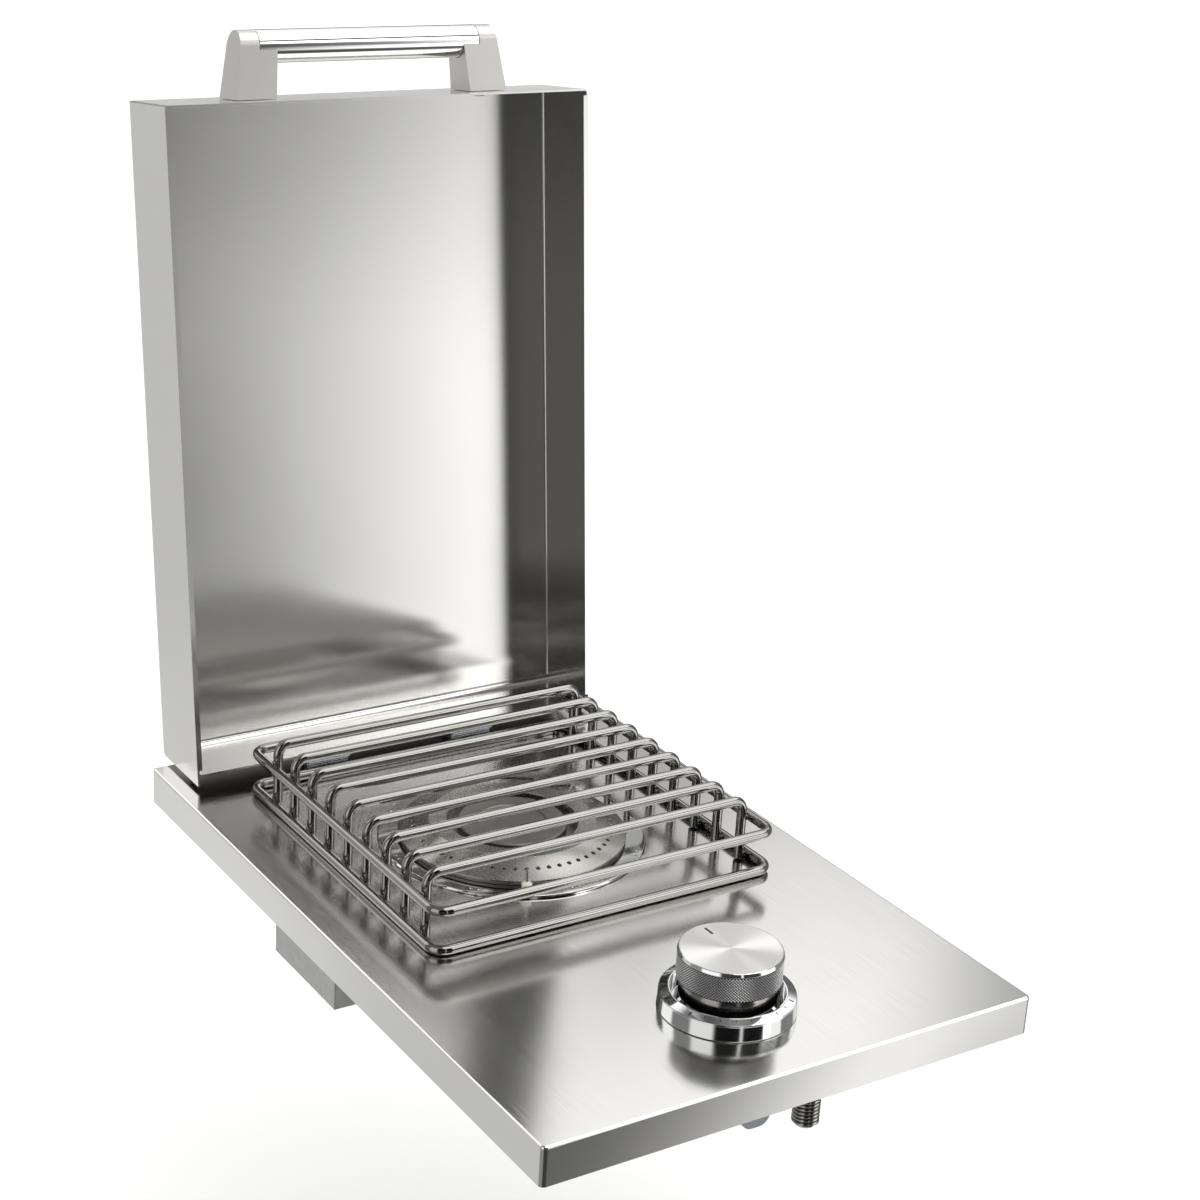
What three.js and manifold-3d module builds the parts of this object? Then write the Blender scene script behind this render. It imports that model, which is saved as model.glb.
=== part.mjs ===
// Built-in gas side burner: a folded plate that drops into a counter, a round burner under a wire
// grate, a push-and-turn knob and a hinged lid, shown open.
// Millimetres, +Z up, front toward -Y. Origin: middle of the front seat flange, on the counter.
import * as THREE from 'three';
import { mergeVertices } from 'three/addons/utils/BufferGeometryUtils.js';
import Module from 'manifold-3d';

const wasm = await Module();
wasm.setup();

// Clearances and cuts
const seam = 0.3;
const overrun = 1;
const weldTolerance = 1e-4;

// Plate
const plateWidth = 320;
const plateDepth = 488;
const skirtHeight = 23.5;
const sheet = 1.2;
const foldRadius = 1.6;
const seatFlange = 12;

// Knob and bezel
const knobFromFront = 70;
const knobRadius = 29.4;
const knobTopDraft = 0.7;
const knobWall = 2;
const knobFace = 4.6;
const knobChamfer = 2.2;
const knobShellHeight = 17.5;
const knobTravel = 3;
const hubEdge = 2.2;
const hubRoof = 4;
const hubWall = 3;
const hubBoss = 4;
const hubClearance = 1.3;
const shellClearance = 4;
const bezelWell = 5.6;
const bezelBand = 5.7;
const bezelWallHeight = 9.9;
const bezelRise = 1.7;
const bezelDraft = 0.7;
const bezelRim = 0.9;
const bezelFloor = 1.4;

// Stem, collar and return spring
const stemRadius = 4;
const stemHole = 7;
const stemEngagement = 18;
const shoulderRadius = 5.2;
const shoulderThickness = 1.2;
const collarRadius = 8.6;
const collarThickness = 1.8;
const collarDrop = 6.6;
const springWire = 1;
const springRadius = 6.4;
const springLength = 8;
const springTurns = 4;

// Valve and its bracket
const bracketWall = 1.5;
const bracketWidth = 44;
const bracketLength = 42;
const valveRadius = 15;
const valveLength = 38;
const valveBoreDepth = 24;
const valveFootWidth = 19;
const valveFootOffset = 5.5;
const valveFootReach = 39;
const valveFootDrop = 46.5;
const valveFootHeight = 32;
const valveFootFillet = 7;
const outletRadius = 7;
const outletBack = 8;
const outletReach = 17;

// Gas inlet
const inletAhead = 30;
const inletOffset = 38.5;
const elbowRise = 3.4;
const elbowRadius = 5.6;
const elbowLength = 6;
const elbowHexRadius = 10;
const elbowHexHeight = 5;
const inletShankRadius = 4.8;
const inletShankLength = 3.5;
const inletThreadRadius = 7.9;
const inletThreadPitch = 1.7;
const inletThreadDepth = 0.6;
const inletThreadLength = 17.1;
const inletBore = 3.4;
const inletNose = 2.4;
const inletNoseRadius = 5.6;

// Burner, from the plate up
const burnerAhead = 7.9;
const baseRingRadius = 83.5;
const baseRingBorder = 12.5;
const baseRingLap = 6;
const baseRingThickness = 1.6;
const baseRingEdge = 0.7;
const baseHoleRadius = 0.9;
const baseHoleInset = 4;
const baseHolePairs = 8;
const baseHoleSpacing = 5;
const openingInset = 5;
const potInset = 1;
const potFlange = 1.9;
const ringWellRadius = 40;
const ringCrownRadius = 52;
const ringHeight = 7.7;
const ringLip = 1.1;
const ringWall = 2.3;
const ringEdge = 1;
const portCount = 56;
const portRadius = 1.1;
const capRadius = 34;
const capHeight = 6.7;
const capWall = 3;
const capRoof = 2.2;
const capEdge = 0.8;
const capDishRadius = 21;
const capPortCount = 24;
const capPortRadius = 0.9;

// Burner pot, from the flange down
const cupInset = 2;
const cupSeat = 2;
const cupDrop = 20;
const potTaper = 12;
const potNeckRadius = 16;
const potWall = 2.4;
const bossRadius = 13;
const bossLength = 24;
const bossSocket = 8;
const spacerRadius = 7;
const potScrewRadius = 4;
const potScrewHeadRadius = 6.5;
const potScrewHead = 2.4;
const potScrewBite = 3;

// Igniter electrode
const igniterAngle = THREE.MathUtils.degToRad(-114);
const igniterGap = 5;
const igniterRadius = 3.2;
const igniterBelow = 12;
const igniterAbove = 8;
const igniterEdge = 1.2;
const igniterPinRadius = 1;
const igniterPin = 8;

// Mixing tube, shutter, orifice, gas tube and the channel round them
const channelInset = 18.5;
const channelWidth = 80;
const channelFlange = 12;
const channelClearance = 4.8;
const mixerDrop = 44;
const mixerRadius = 10.5;
const mixerWall = 1.5;
const mixerMouthRadius = 15;
const mixerMouthLength = 12;
const shutterThickness = 1.5;
const shutterHub = 4.6;
const shutterRim = 2.2;
const shutterSpoke = 3.2;
const shutterSpokes = 4;
const orificeHexRadius = 6.2;
const orificeHexLength = 8;
const orificeNoseRadius = 3.8;
const orificeNoseLength = 6;
const gasTubeRadius = 4;
const gasTubeBend = 14;
const gasTubeInset = 12.3;
const gasTubeStraight = 9;
const tubeHoleClearance = 1.5;

// Grate
const rodDiameter = 6.2;
const grateBackGap = 55.5;
const grateFrontShare = 0.37766;
const grateWidth = 233;
const grateCorner = 15;
const upperRingHeight = 27.8;
const barHeight = 38;
const barBend = 9;
const barPitch = 24.2;
const legLift = 1.6;

// Lid
const lidInset = 12.5;
const lidBehind = 38.8;
const lidFrontClear = 5.9;
const lidDepth = 56;
const lidLean = THREE.MathUtils.degToRad(6.1);
const lidGap = 0.5;
const lidOverhang = 6.3;
const lidTail = 2;
const lidCorner = 6;
const hemThickness = 3.4;
const hemDepth = 8;
const hemSetback = 3;
const stopRadius = 2.4;
const stopBehind = 5;

// Hinges
const hingeSpacing = 108;
const hingeWidth = 30;
const knuckleRadius = 3.2;
const knuckleBite = 0.2;
const pinRadius = 1.6;
const pinHeadRadius = 2.6;
const pinHead = 1;
const leafThickness = 1.3;
const plateLeafLength = 22;
const lidLeafLength = 20;

// Handle
const handleLength = 189.2;
const handlePost = 26.8;
const handleBase = 26;
const handleReach = 41.5;
const handleTaper = 6.5;
const handleInnerTaper = 3.9;
const handleEnd = 18.1;
const barTubeRadius = 10.2;
const barTubeWall = 1.6;
const handleScrewRadius = 2.4;
const handleScrewHeadRadius = 4.4;
const handleScrewHead = 2.2;
const handleScrewDepth = 14;
const handleScrewTip = 3;

// Facets of round pieces
const wideSides = 48;
const midSides = 28;
const smallSides = 12;
const rodSides = 8;
const hexSides = 6;
const portSides = 4;
const springSides = 5;
const springSteps = 8;
const bendSteps = 4;
const arcSteps = 4;
const quarterTurn = Math.PI / 2;
const fullTurn = Math.PI * 2;

// Places that follow from the sizes above
const halfPlate = plateWidth / 2;
const frontY = -seatFlange / 2;
const backY = frontY + plateDepth;
const top = skirtHeight;
const under = top - sheet;
const knobY = frontY + knobFromFront;
const grateLength = plateDepth * (1 - grateFrontShare) - grateBackGap - rodDiameter;
const barCount = Math.round(grateLength / barPitch) - 1;
const grateY = backY - grateBackGap - (rodDiameter + grateLength) / 2;
const burnerY = grateY - burnerAhead;
const ringRadius = baseRingRadius - baseRingBorder;
const openingRadius = ringRadius - openingInset;
const baseRingBore = openingRadius - baseRingLap;
const baseRingTop = top + seam + baseRingThickness;
const potRadius = ringRadius - potInset;
const potFloor = baseRingTop + seam;
const potTop = potFloor + potFlange;
const crownFloor = potTop + seam;
const mixerZ = top - mixerDrop;
const potBottom = mixerZ - bossRadius;
const channelFloor = mixerZ - mixerMouthRadius - channelClearance - sheet;
const channelHalf = halfPlate - channelInset;
const gasTubeX = channelHalf - sheet - gasTubeInset;
const orificeEnd = gasTubeX - gasTubeBend - gasTubeStraight;
const hubRadius = knobRadius - knobWall;
const bezelTopRadius = hubRadius + bezelWell;
const bezelRadius = bezelTopRadius + bezelBand;
const bezelHeight = bezelWallHeight + bezelRise;
const hubBottom = top + seam + bezelFloor + knobTravel + hubClearance;
const shellBottom = top + bezelHeight + knobTravel + shellClearance;
const knobTop = shellBottom + knobShellHeight;
const stemTip = knobTop - knobFace - seam - hubRoof - seam;
const collarTop = top - collarDrop;
const springTop = collarTop - collarThickness - seam;
const springBottom = springTop - springLength - springWire;
const bracketBottom = springBottom - seam - bracketWall;
const valveTop = bracketBottom - seam;

// Materials
const brushed = steel('#c6c5c1', 0.34);
const polished = steel('#dcdcda', 0.14);
const satin = steel('#b4b3af', 0.45);
const wire = steel('#b9b2a6', 0.25);
const zinc = steel('#b9bfc6', 0.4);
const galvanised = steel('#8f908d', 0.55);
const castAlloy = steel('#8a8a86', 0.62);
const brass = steel('#b08d4a', 0.35);
const blackNickel = steel('#35332f', 0.3);
const darkHub = steel('#4c4a46', 0.3);
const ceramic = matte('#e6e1d6', 0.5);
const rubber = matte('#1d1d1d', 0.85);

function steel(color, roughness) {
  return new THREE.MeshStandardMaterial({ color, roughness, metalness: 1 });
}

function matte(color, roughness) {
  return new THREE.MeshStandardMaterial({ color, roughness, metalness: 0 });
}

// Closed meshes as solids, and back
function solidOf(geometry) {
  const bare = geometry.clone();
  bare.deleteAttribute('normal');
  bare.deleteAttribute('uv');
  const merged = mergeVertices(bare, weldTolerance);
  const points = merged.attributes.position.array;
  const corners = merged.index.array;
  const faces = [];
  let volume = 0;
  for (let i = 0; i < corners.length; i += 3) {
    const [a, b, c] = corners.slice(i, i + 3);
    if (a !== b && b !== c && c !== a) {
      faces.push([a, b, c]);
      volume += cornerVolume(points, a, b, c);
    }
  }
  const outward = faces.map(([a, b, c]) => (volume > 0 ? [a, b, c] : [a, c, b]));
  const mesh = new wasm.Mesh({
    numProp: 3,
    vertProperties: new Float32Array(points),
    triVerts: new Uint32Array(outward.flat()),
  });
  return new wasm.Manifold(mesh);
}

function cornerVolume(points, a, b, c) {
  const [p, q, r] = [a, b, c].map((i) => new THREE.Vector3().fromArray(points, i * 3));
  return p.dot(q.cross(r));
}

function geometryOf(solid) {
  const mesh = solid.getMesh();
  const geometry = new THREE.BufferGeometry();
  geometry.setAttribute('position', new THREE.BufferAttribute(mesh.vertProperties, 3));
  geometry.setIndex(new THREE.BufferAttribute(mesh.triVerts, 1));
  const faceted = geometry.toNonIndexed();
  faceted.computeVertexNormals();
  return faceted;
}

function cut(solid, ...tools) {
  return tools.reduce((rest, tool) => rest.subtract(tool), solid);
}

function join(solid, ...others) {
  return others.reduce((sum, other) => sum.add(other), solid);
}

// Outlines
function outline(points) {
  return new THREE.Shape(points.map(([x, y]) => new THREE.Vector2(x, y)));
}

function roundedOutline(width, length, radius) {
  const shape = new THREE.Shape();
  const [x, y] = [width / 2 - radius, length / 2 - radius];
  [[x, y], [-x, y], [-x, -y], [x, -y]].forEach(([cx, cy], i) => {
    shape.absarc(cx, cy, radius, i * quarterTurn, (i + 1) * quarterTurn);
  });
  return shape;
}

function polygon(radius, sides) {
  const points = [];
  for (let i = 0; i < sides; i += 1) {
    const angle = ((i + 1 / 2) / sides) * fullTurn;
    points.push([radius * Math.cos(angle), radius * Math.sin(angle)]);
  }
  return outline(points);
}

// Solid forms
function box(x0, x1, y0, y1, z0, z1) {
  const geometry = new THREE.BoxGeometry(x1 - x0, y1 - y0, z1 - z0);
  geometry.translate((x0 + x1) / 2, (y0 + y1) / 2, (z0 + z1) / 2);
  return solidOf(geometry);
}

function prism(shape, z0, z1) {
  const geometry = new THREE.ExtrudeGeometry(shape, {
    depth: z1 - z0,
    bevelEnabled: false,
    curveSegments: arcSteps,
  });
  return geometry.translate(0, 0, z0);
}

// An outline drawn in Y and Z, run along X
function crosswise(shape, x0, x1) {
  const turn = new THREE.Matrix4().makeBasis(
    new THREE.Vector3(0, 1, 0),
    new THREE.Vector3(0, 0, 1),
    new THREE.Vector3(1, 0, 0),
  );
  return prism(shape, x0, x1).applyMatrix4(turn);
}

// An outline drawn in X and Z, run along Y
function lengthwise(shape, y0, y1) {
  const turn = new THREE.Matrix4().makeBasis(
    new THREE.Vector3(1, 0, 0),
    new THREE.Vector3(0, 0, 1),
    new THREE.Vector3(0, -1, 0),
  );
  return prism(shape, -y1, -y0).applyMatrix4(turn);
}

// A profile of radius and height pairs, turned about Z
function turned(profile, segments) {
  const points = profile.map(([r, z]) => new THREE.Vector2(r, z));
  if (profile[0][0] > 0) {
    points.push(points[0].clone());
  }
  return new THREE.LatheGeometry(points, segments).rotateX(quarterTurn);
}

function cylinder(radius, z0, z1, segments = smallSides) {
  return turned([[0, z0], [radius, z0], [radius, z1], [0, z1]], segments);
}

function drill(radius, z0, z1, x, y, segments = smallSides) {
  return solidOf(cylinder(radius, z0, z1, segments).translate(x, y, 0));
}

function crossDrill(radius, x0, x1, y, z, segments = smallSides) {
  return solidOf(crosswise(polygon(radius, segments), x0, x1).translate(0, y, z));
}

function lengthDrill(radius, y0, y1, x, z) {
  return solidOf(lengthwise(polygon(radius, smallSides), y0, y1).translate(x, 0, z));
}

function alongX(geometry) {
  return geometry.rotateY(quarterTurn);
}

// Rods: a path through knots, each with its own direction
class KnotPath extends THREE.Curve {
  constructor(knots) {
    super();
    this.knots = knots;
  }

  between(t, key) {
    const place = t * (this.knots.length - 1);
    const index = Math.min(Math.floor(place), this.knots.length - 2);
    const [from, to] = [this.knots[index][key], this.knots[index + 1][key]];
    return from.clone().lerp(to, place - index);
  }

  getPointAt(t) {
    return this.between(t, 'point');
  }

  getTangentAt(t) {
    return this.between(t, 'tangent').normalize();
  }
}

function bentPath(corners, radius) {
  const spots = corners.map((corner) => new THREE.Vector3(...corner));
  const knots = [];
  spots.forEach((spot, i) => {
    const before = i > 0 ? spot.clone().sub(spots[i - 1]).normalize() : null;
    const after = i < spots.length - 1 ? spots[i + 1].clone().sub(spot).normalize() : null;
    if (!before || !after) {
      knots.push({ point: spot, tangent: before || after });
      return;
    }
    const turn = before.angleTo(after);
    const axis = before.clone().cross(after).normalize();
    const inward = axis.clone().cross(before).multiplyScalar(radius);
    const start = spot.clone().addScaledVector(before, -radius * Math.tan(turn / 2));
    const centre = start.add(inward);
    for (let step = 0; step <= bendSteps; step += 1) {
      const angle = (turn * step) / bendSteps;
      const point = centre.clone().sub(inward.clone().applyAxisAngle(axis, angle));
      knots.push({ point, tangent: before.clone().applyAxisAngle(axis, angle) });
    }
  });
  return new KnotPath(knots);
}

function rod(path, radius, sides = rodSides) {
  return new THREE.ExtrudeGeometry(polygon(radius, sides), {
    steps: path.knots.length - 1,
    bevelEnabled: false,
    extrudePath: path,
  });
}

// Scene graph
const part = new THREE.Group();
const hands = [['left', -1], ['right', 1]];

function add(name, shape, material, parent = part) {
  const solid = shape.isBufferGeometry ? solidOf(shape) : shape;
  const mesh = new THREE.Mesh(geometryOf(solid), material);
  mesh.name = name;
  parent.add(mesh);
}

function groupAt(x, y, z, parent = part) {
  const group = new THREE.Group();
  group.position.set(x, y, z);
  parent.add(group);
  return group;
}

const knobRow = groupAt(0, knobY, 0);
const burnerRow = groupAt(0, burnerY, 0);
const mixerRow = groupAt(0, burnerY, mixerZ);

// Top plate: a folded pan whose skirt turns in to a flange that sits on the counter
function makeTopPlate() {
  const slab = new THREE.ExtrudeGeometry(
    roundedOutline(plateWidth - foldRadius * 2, plateDepth - foldRadius * 2, foldRadius),
    {
      depth: skirtHeight,
      bevelEnabled: true,
      bevelThickness: foldRadius,
      bevelSize: foldRadius,
      bevelSegments: 3,
      curveSegments: arcSteps,
    },
  );
  slab.translate(0, frontY + plateDepth / 2, top - skirtHeight - foldRadius);
  const [left, right] = [-halfPlate - overrun, halfPlate + overrun];
  const below = box(left, right, frontY - overrun, backY + overrun, -skirtHeight, 0);
  const inside = box(
    -halfPlate + sheet,
    halfPlate - sheet,
    frontY + sheet,
    backY - sheet,
    sheet,
    under,
  );
  const cutOut = box(
    -halfPlate + seatFlange,
    halfPlate - seatFlange,
    frontY + seatFlange,
    backY - seatFlange,
    -overrun,
    sheet + overrun,
  );
  const [low, high] = [under - overrun, top + overrun];
  const opening = drill(openingRadius, low, high, 0, burnerY, wideSides);
  const knobHole = drill(stemHole, low, high, 0, knobY);
  const igniterHole = drill(igniterRadius + seam, low, high, ...igniterSpot());
  const pan = cut(solidOf(slab), below, inside, cutOut, opening, knobHole, igniterHole);
  add('top_plate', pan, brushed);
}

function igniterSpot() {
  const reach = ringRadius + igniterGap;
  return [reach * Math.cos(igniterAngle), burnerY + reach * Math.sin(igniterAngle)];
}

// Burner channel: a folded trough with closed ends, flanged to the plate's underside
function makeBurnerChannel() {
  const half = channelWidth / 2;
  const high = under - seam;
  const reach = half + channelFlange;
  const [front, back] = [burnerY - half, burnerY + half];
  const trough = box(-channelHalf, channelHalf, front, back, channelFloor, high);
  const flange = box(-channelHalf, channelHalf, burnerY - reach, burnerY + reach, high - sheet, high);
  const hollow = box(
    -channelHalf + sheet,
    channelHalf - sheet,
    front + sheet,
    back - sheet,
    channelFloor + sheet,
    high + overrun,
  );
  const tubeHole = lengthDrill(
    gasTubeRadius + tubeHoleClearance,
    front - overrun,
    front + sheet + overrun,
    gasTubeX,
    mixerZ,
  );
  const screwHole = drill(
    potScrewRadius + seam,
    channelFloor - overrun,
    channelFloor + sheet + overrun,
    0,
    burnerY,
  );
  add('burner_channel', cut(join(trough, flange), hollow, tubeHole, screwHole), galvanised);
}

// Base ring: a polished pressing that lies on the plate round the burner, with pairs of holes
function makeBaseRing() {
  const floor = top + seam;
  const ring = solidOf(turned([
    [baseRingBore, floor],
    [baseRingRadius, floor],
    [baseRingRadius, floor + baseRingEdge],
    [baseRingRadius - baseRingEdge, baseRingTop],
    [baseRingBore, baseRingTop],
  ], wideSides).translate(0, burnerY, 0));
  const [low, high] = [floor - overrun, baseRingTop + overrun];
  const reach = baseRingRadius - baseHoleInset;
  const holes = [];
  for (let i = 0; i < baseHolePairs; i += 1) {
    const middle = igniterAngle + ((i + 1 / 2) / baseHolePairs) * fullTurn;
    for (const [, sign] of hands) {
      const angle = middle + (sign * baseHoleSpacing) / reach / 2;
      const [x, y] = [reach * Math.cos(angle), burnerY + reach * Math.sin(angle)];
      holes.push(drill(baseHoleRadius, low, high, x, y, portSides));
    }
  }
  const igniterHole = drill(igniterRadius + seam, low, high, ...igniterSpot());
  add('burner_base_ring', cut(ring, igniterHole, ...holes), polished);
}

// Burner pot: a cast cup with a wide flange above and a neck below, fed from the side
function makeBurnerPot() {
  const cupRadius = ringWellRadius - cupInset;
  const cupBore = capRadius - cupSeat;
  const neckBore = potNeckRadius - potWall;
  const cupFloor = top - cupDrop;
  const neckTop = cupFloor - potTaper;
  const floor = potBottom + potWall;
  const outside = solidOf(turned([
    [0, potBottom],
    [potNeckRadius, potBottom],
    [potNeckRadius, neckTop],
    [cupRadius, cupFloor],
    [cupRadius, potFloor],
    [potRadius, potFloor],
    [potRadius, potTop],
    [0, potTop],
  ], midSides));
  const inside = solidOf(turned([
    [0, floor],
    [neckBore, floor],
    [neckBore, neckTop],
    [cupBore, cupFloor + potWall],
    [cupBore, potTop + overrun],
    [0, potTop + overrun],
  ], midSides));
  const boss = crossDrill(bossRadius, 0, bossLength, 0, mixerZ, midSides);
  const bore = crossDrill(mixerRadius - mixerWall, 0, bossLength, 0, mixerZ, midSides);
  const socket = crossDrill(
    mixerRadius + seam,
    bossLength - bossSocket,
    bossLength + overrun,
    0,
    mixerZ,
    midSides,
  );
  const thread = drill(potScrewRadius + seam, potBottom - overrun, floor + potScrewBite, 0, 0);
  const pot = cut(join(outside, boss), inside, bore, socket, thread);
  add('burner_pot', pot, castAlloy, burnerRow);
}

// Outer ring: a hollow crown whose sloping face carries the row of flame ports
function makeOuterRing() {
  const crest = crownFloor + ringHeight;
  const lip = crownFloor + ringLip;
  const ring = solidOf(turned([
    [ringWellRadius, crownFloor],
    [ringWellRadius + ringWall, crownFloor],
    [ringWellRadius + ringWall, crest - ringWall],
    [ringCrownRadius - ringWall / 2, crest - ringWall],
    [ringRadius - ringWall * 2, crownFloor],
    [ringRadius, crownFloor],
    [ringRadius, lip],
    [ringCrownRadius, crest],
    [ringWellRadius + ringEdge, crest],
    [ringWellRadius, crest - ringEdge],
  ], portCount));
  const slope = Math.atan2(crest - lip, ringRadius - ringCrownRadius);
  const port = cylinder(portRadius, -ringWall - overrun, overrun, portSides)
    .rotateY(slope)
    .translate((ringRadius + ringCrownRadius) / 2, 0, (crest + lip) / 2);
  const ports = [];
  for (let i = 0; i < portCount; i += 1) {
    ports.push(solidOf(port.clone().rotateZ(((i + 1 / 2) / portCount) * fullTurn)));
  }
  add('burner_outer_ring', cut(ring, ...ports), satin, burnerRow);
}

// Inner cap: a dished disc with a skirt of small ports, standing on the rim of the cup
function makeInnerCap() {
  const crest = crownFloor + capHeight;
  const ceiling = crest - capRoof - capEdge;
  const bore = capRadius - capWall;
  const cap = solidOf(turned([
    [0, ceiling],
    [bore, ceiling],
    [bore, crownFloor],
    [capRadius, crownFloor],
    [capRadius, crest - capEdge],
    [capRadius - capEdge, crest],
    [capDishRadius + capEdge, crest],
    [capDishRadius, crest - capEdge],
    [0, crest - capEdge],
  ], capPortCount * 2));
  const middle = (crownFloor + ceiling) / 2;
  const port = alongX(cylinder(capPortRadius, bore - overrun, capRadius + overrun, portSides))
    .translate(0, 0, middle);
  const ports = [];
  for (let i = 0; i < capPortCount; i += 1) {
    ports.push(solidOf(port.clone().rotateZ(((i + 1 / 4) / capPortCount) * fullTurn)));
  }
  add('burner_inner_cap', cut(cap, ...ports), castAlloy, burnerRow);
}

// Spacer and screw that hold the pot up from the channel's floor
function makePotMount() {
  const spacerFloor = channelFloor + sheet + seam;
  const bore = potScrewRadius + seam;
  const spacer = turned([
    [bore, spacerFloor],
    [spacerRadius, spacerFloor],
    [spacerRadius, potBottom - seam],
    [bore, potBottom - seam],
  ], smallSides);
  add('pot_spacer', spacer, zinc, burnerRow);
  const seat = channelFloor - seam;
  const tip = potBottom + potScrewBite;
  const screw = turned([
    [0, seat - potScrewHead],
    [potScrewHeadRadius, seat - potScrewHead],
    [potScrewHeadRadius, seat],
    [potScrewRadius, seat],
    [potScrewRadius, tip],
    [0, tip],
  ], smallSides);
  add('pot_screw', screw, zinc, burnerRow);
}

// Igniter electrode: a pin in a ceramic sleeve, standing through the plate beside the ring
function makeIgniter() {
  const sleeveTop = top + igniterAbove;
  const electrode = turned([
    [0, top - igniterBelow],
    [igniterRadius, top - igniterBelow],
    [igniterRadius, sleeveTop - igniterEdge],
    [igniterRadius - igniterEdge, sleeveTop],
    [igniterPinRadius, sleeveTop],
    [igniterPinRadius, sleeveTop + igniterPin],
    [0, sleeveTop + igniterPin],
  ], smallSides);
  add('igniter_electrode', electrode, ceramic, groupAt(...igniterSpot(), 0));
}

// Mixing tube, air shutter, orifice and gas tube, in line along the channel
function makeMixer() {
  const orificeStart = orificeEnd - orificeHexLength;
  const shutterStart = orificeStart - seam - shutterThickness;
  const mouth = shutterStart - seam;
  const bore = mixerRadius - mixerWall;
  const socketEnd = bossLength - bossSocket + seam;
  const tube = turned([
    [bore, socketEnd],
    [mixerRadius, socketEnd],
    [mixerRadius, mouth - mixerMouthLength],
    [mixerMouthRadius, mouth],
    [mixerMouthRadius - mixerWall, mouth],
    [bore, mouth - mixerMouthLength],
  ], midSides);
  add('mixing_tube', alongX(tube), castAlloy, mixerRow);
  add('air_shutter', alongX(airShutter(shutterStart)), zinc, mixerRow);
  const hexagon = solidOf(prism(polygon(orificeHexRadius, hexSides), orificeStart, orificeEnd));
  const nose = solidOf(cylinder(
    orificeNoseRadius,
    orificeStart - orificeNoseLength,
    orificeStart + overrun,
  ));
  add('gas_orifice', alongX(geometryOf(join(hexagon, nose))), brass, mixerRow);
}

function airShutter(start) {
  const end = start + shutterThickness;
  const rim = mixerMouthRadius - shutterRim;
  const hub = shutterHub + shutterRim;
  const half = Math.PI / shutterSpokes - shutterSpoke / (rim + hub);
  const window = new THREE.Shape();
  window.absarc(0, 0, rim, -half, half);
  window.absarc(0, 0, hub, half, -half, true);
  const blank = prism(window, start - overrun, end + overrun);
  const windows = [];
  for (let i = 0; i < shutterSpokes; i += 1) {
    windows.push(solidOf(blank.clone().rotateZ((i / shutterSpokes) * fullTurn)));
  }
  const disc = solidOf(prism(polygon(mixerMouthRadius, midSides), start, end));
  return geometryOf(cut(disc, drill(shutterHub, start - overrun, end + overrun, 0, 0), ...windows));
}

function makeGasTube() {
  const outletY = knobY + outletBack;
  const path = bentPath([
    [outletReach + seam, outletY, mixerZ],
    [gasTubeX, outletY, mixerZ],
    [gasTubeX, burnerY, mixerZ],
    [orificeEnd + seam, burnerY, mixerZ],
  ], gasTubeBend);
  add('gas_tube', rod(path, gasTubeRadius), satin);
}

// Valve: a barrel under the knob, with a rounded foot in front and an outlet at the right
function makeValve() {
  const barrel = solidOf(cylinder(valveRadius, valveTop - valveLength, valveTop, midSides));
  const footShape = roundedOutline(valveFootWidth, valveFootHeight, valveFootFillet);
  const foot = solidOf(
    lengthwise(footShape, -valveFootReach, 0).translate(valveFootOffset, 0, top - valveFootDrop),
  );
  const outlet = crossDrill(outletRadius, 0, outletReach, outletBack, mixerZ);
  const bore = drill(stemRadius + seam, valveTop - valveBoreDepth, valveTop + overrun, 0, 0);
  add('gas_valve', cut(join(barrel, foot, outlet), bore), zinc, knobRow);
}

// Valve bracket: a folded loop between plate and valve, round the collar and the spring
function makeValveBracket() {
  const [halfWidth, halfLength] = [bracketWidth / 2, bracketLength / 2];
  const high = under - seam;
  const loop = box(-halfWidth, halfWidth, -halfLength, halfLength, bracketBottom, high);
  const hollow = box(
    -halfWidth + bracketWall,
    halfWidth - bracketWall,
    -halfLength - overrun,
    halfLength + overrun,
    bracketBottom + bracketWall,
    high - bracketWall,
  );
  const upperHole = drill(stemHole, high - bracketWall - overrun, high + overrun, 0, 0);
  const lowerHole = drill(
    stemRadius + seam,
    bracketBottom - overrun,
    bracketBottom + bracketWall + overrun,
    0,
    0,
  );
  add('valve_bracket', cut(loop, hollow, upperHole, lowerHole), galvanised, knobRow);
}

// Return spring: one helix of wire between the bracket's floor and the collar
function makeSpring() {
  const low = springBottom + springWire / 2;
  const rise = springLength / (springTurns * fullTurn);
  const knots = [];
  for (let i = 0; i <= springTurns * springSteps; i += 1) {
    const angle = (i / springSteps) * fullTurn;
    const [x, y] = [springRadius * Math.cos(angle), springRadius * Math.sin(angle)];
    const tangent = new THREE.Vector3(-y, x, rise).normalize();
    knots.push({ point: new THREE.Vector3(x, y, low + rise * angle), tangent });
  }
  const steps = knots.map((knot, i) => knots[i + springSteps]?.point.distanceTo(knot.point));
  const gap = Math.min(...steps.filter(Boolean)) - springWire;
  console.log(`return spring: least gap between turns ${gap.toFixed(2)} mm`);
  add('return_spring', rod(new KnotPath(knots), springWire / 2, springSides), satin, knobRow);
}

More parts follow.
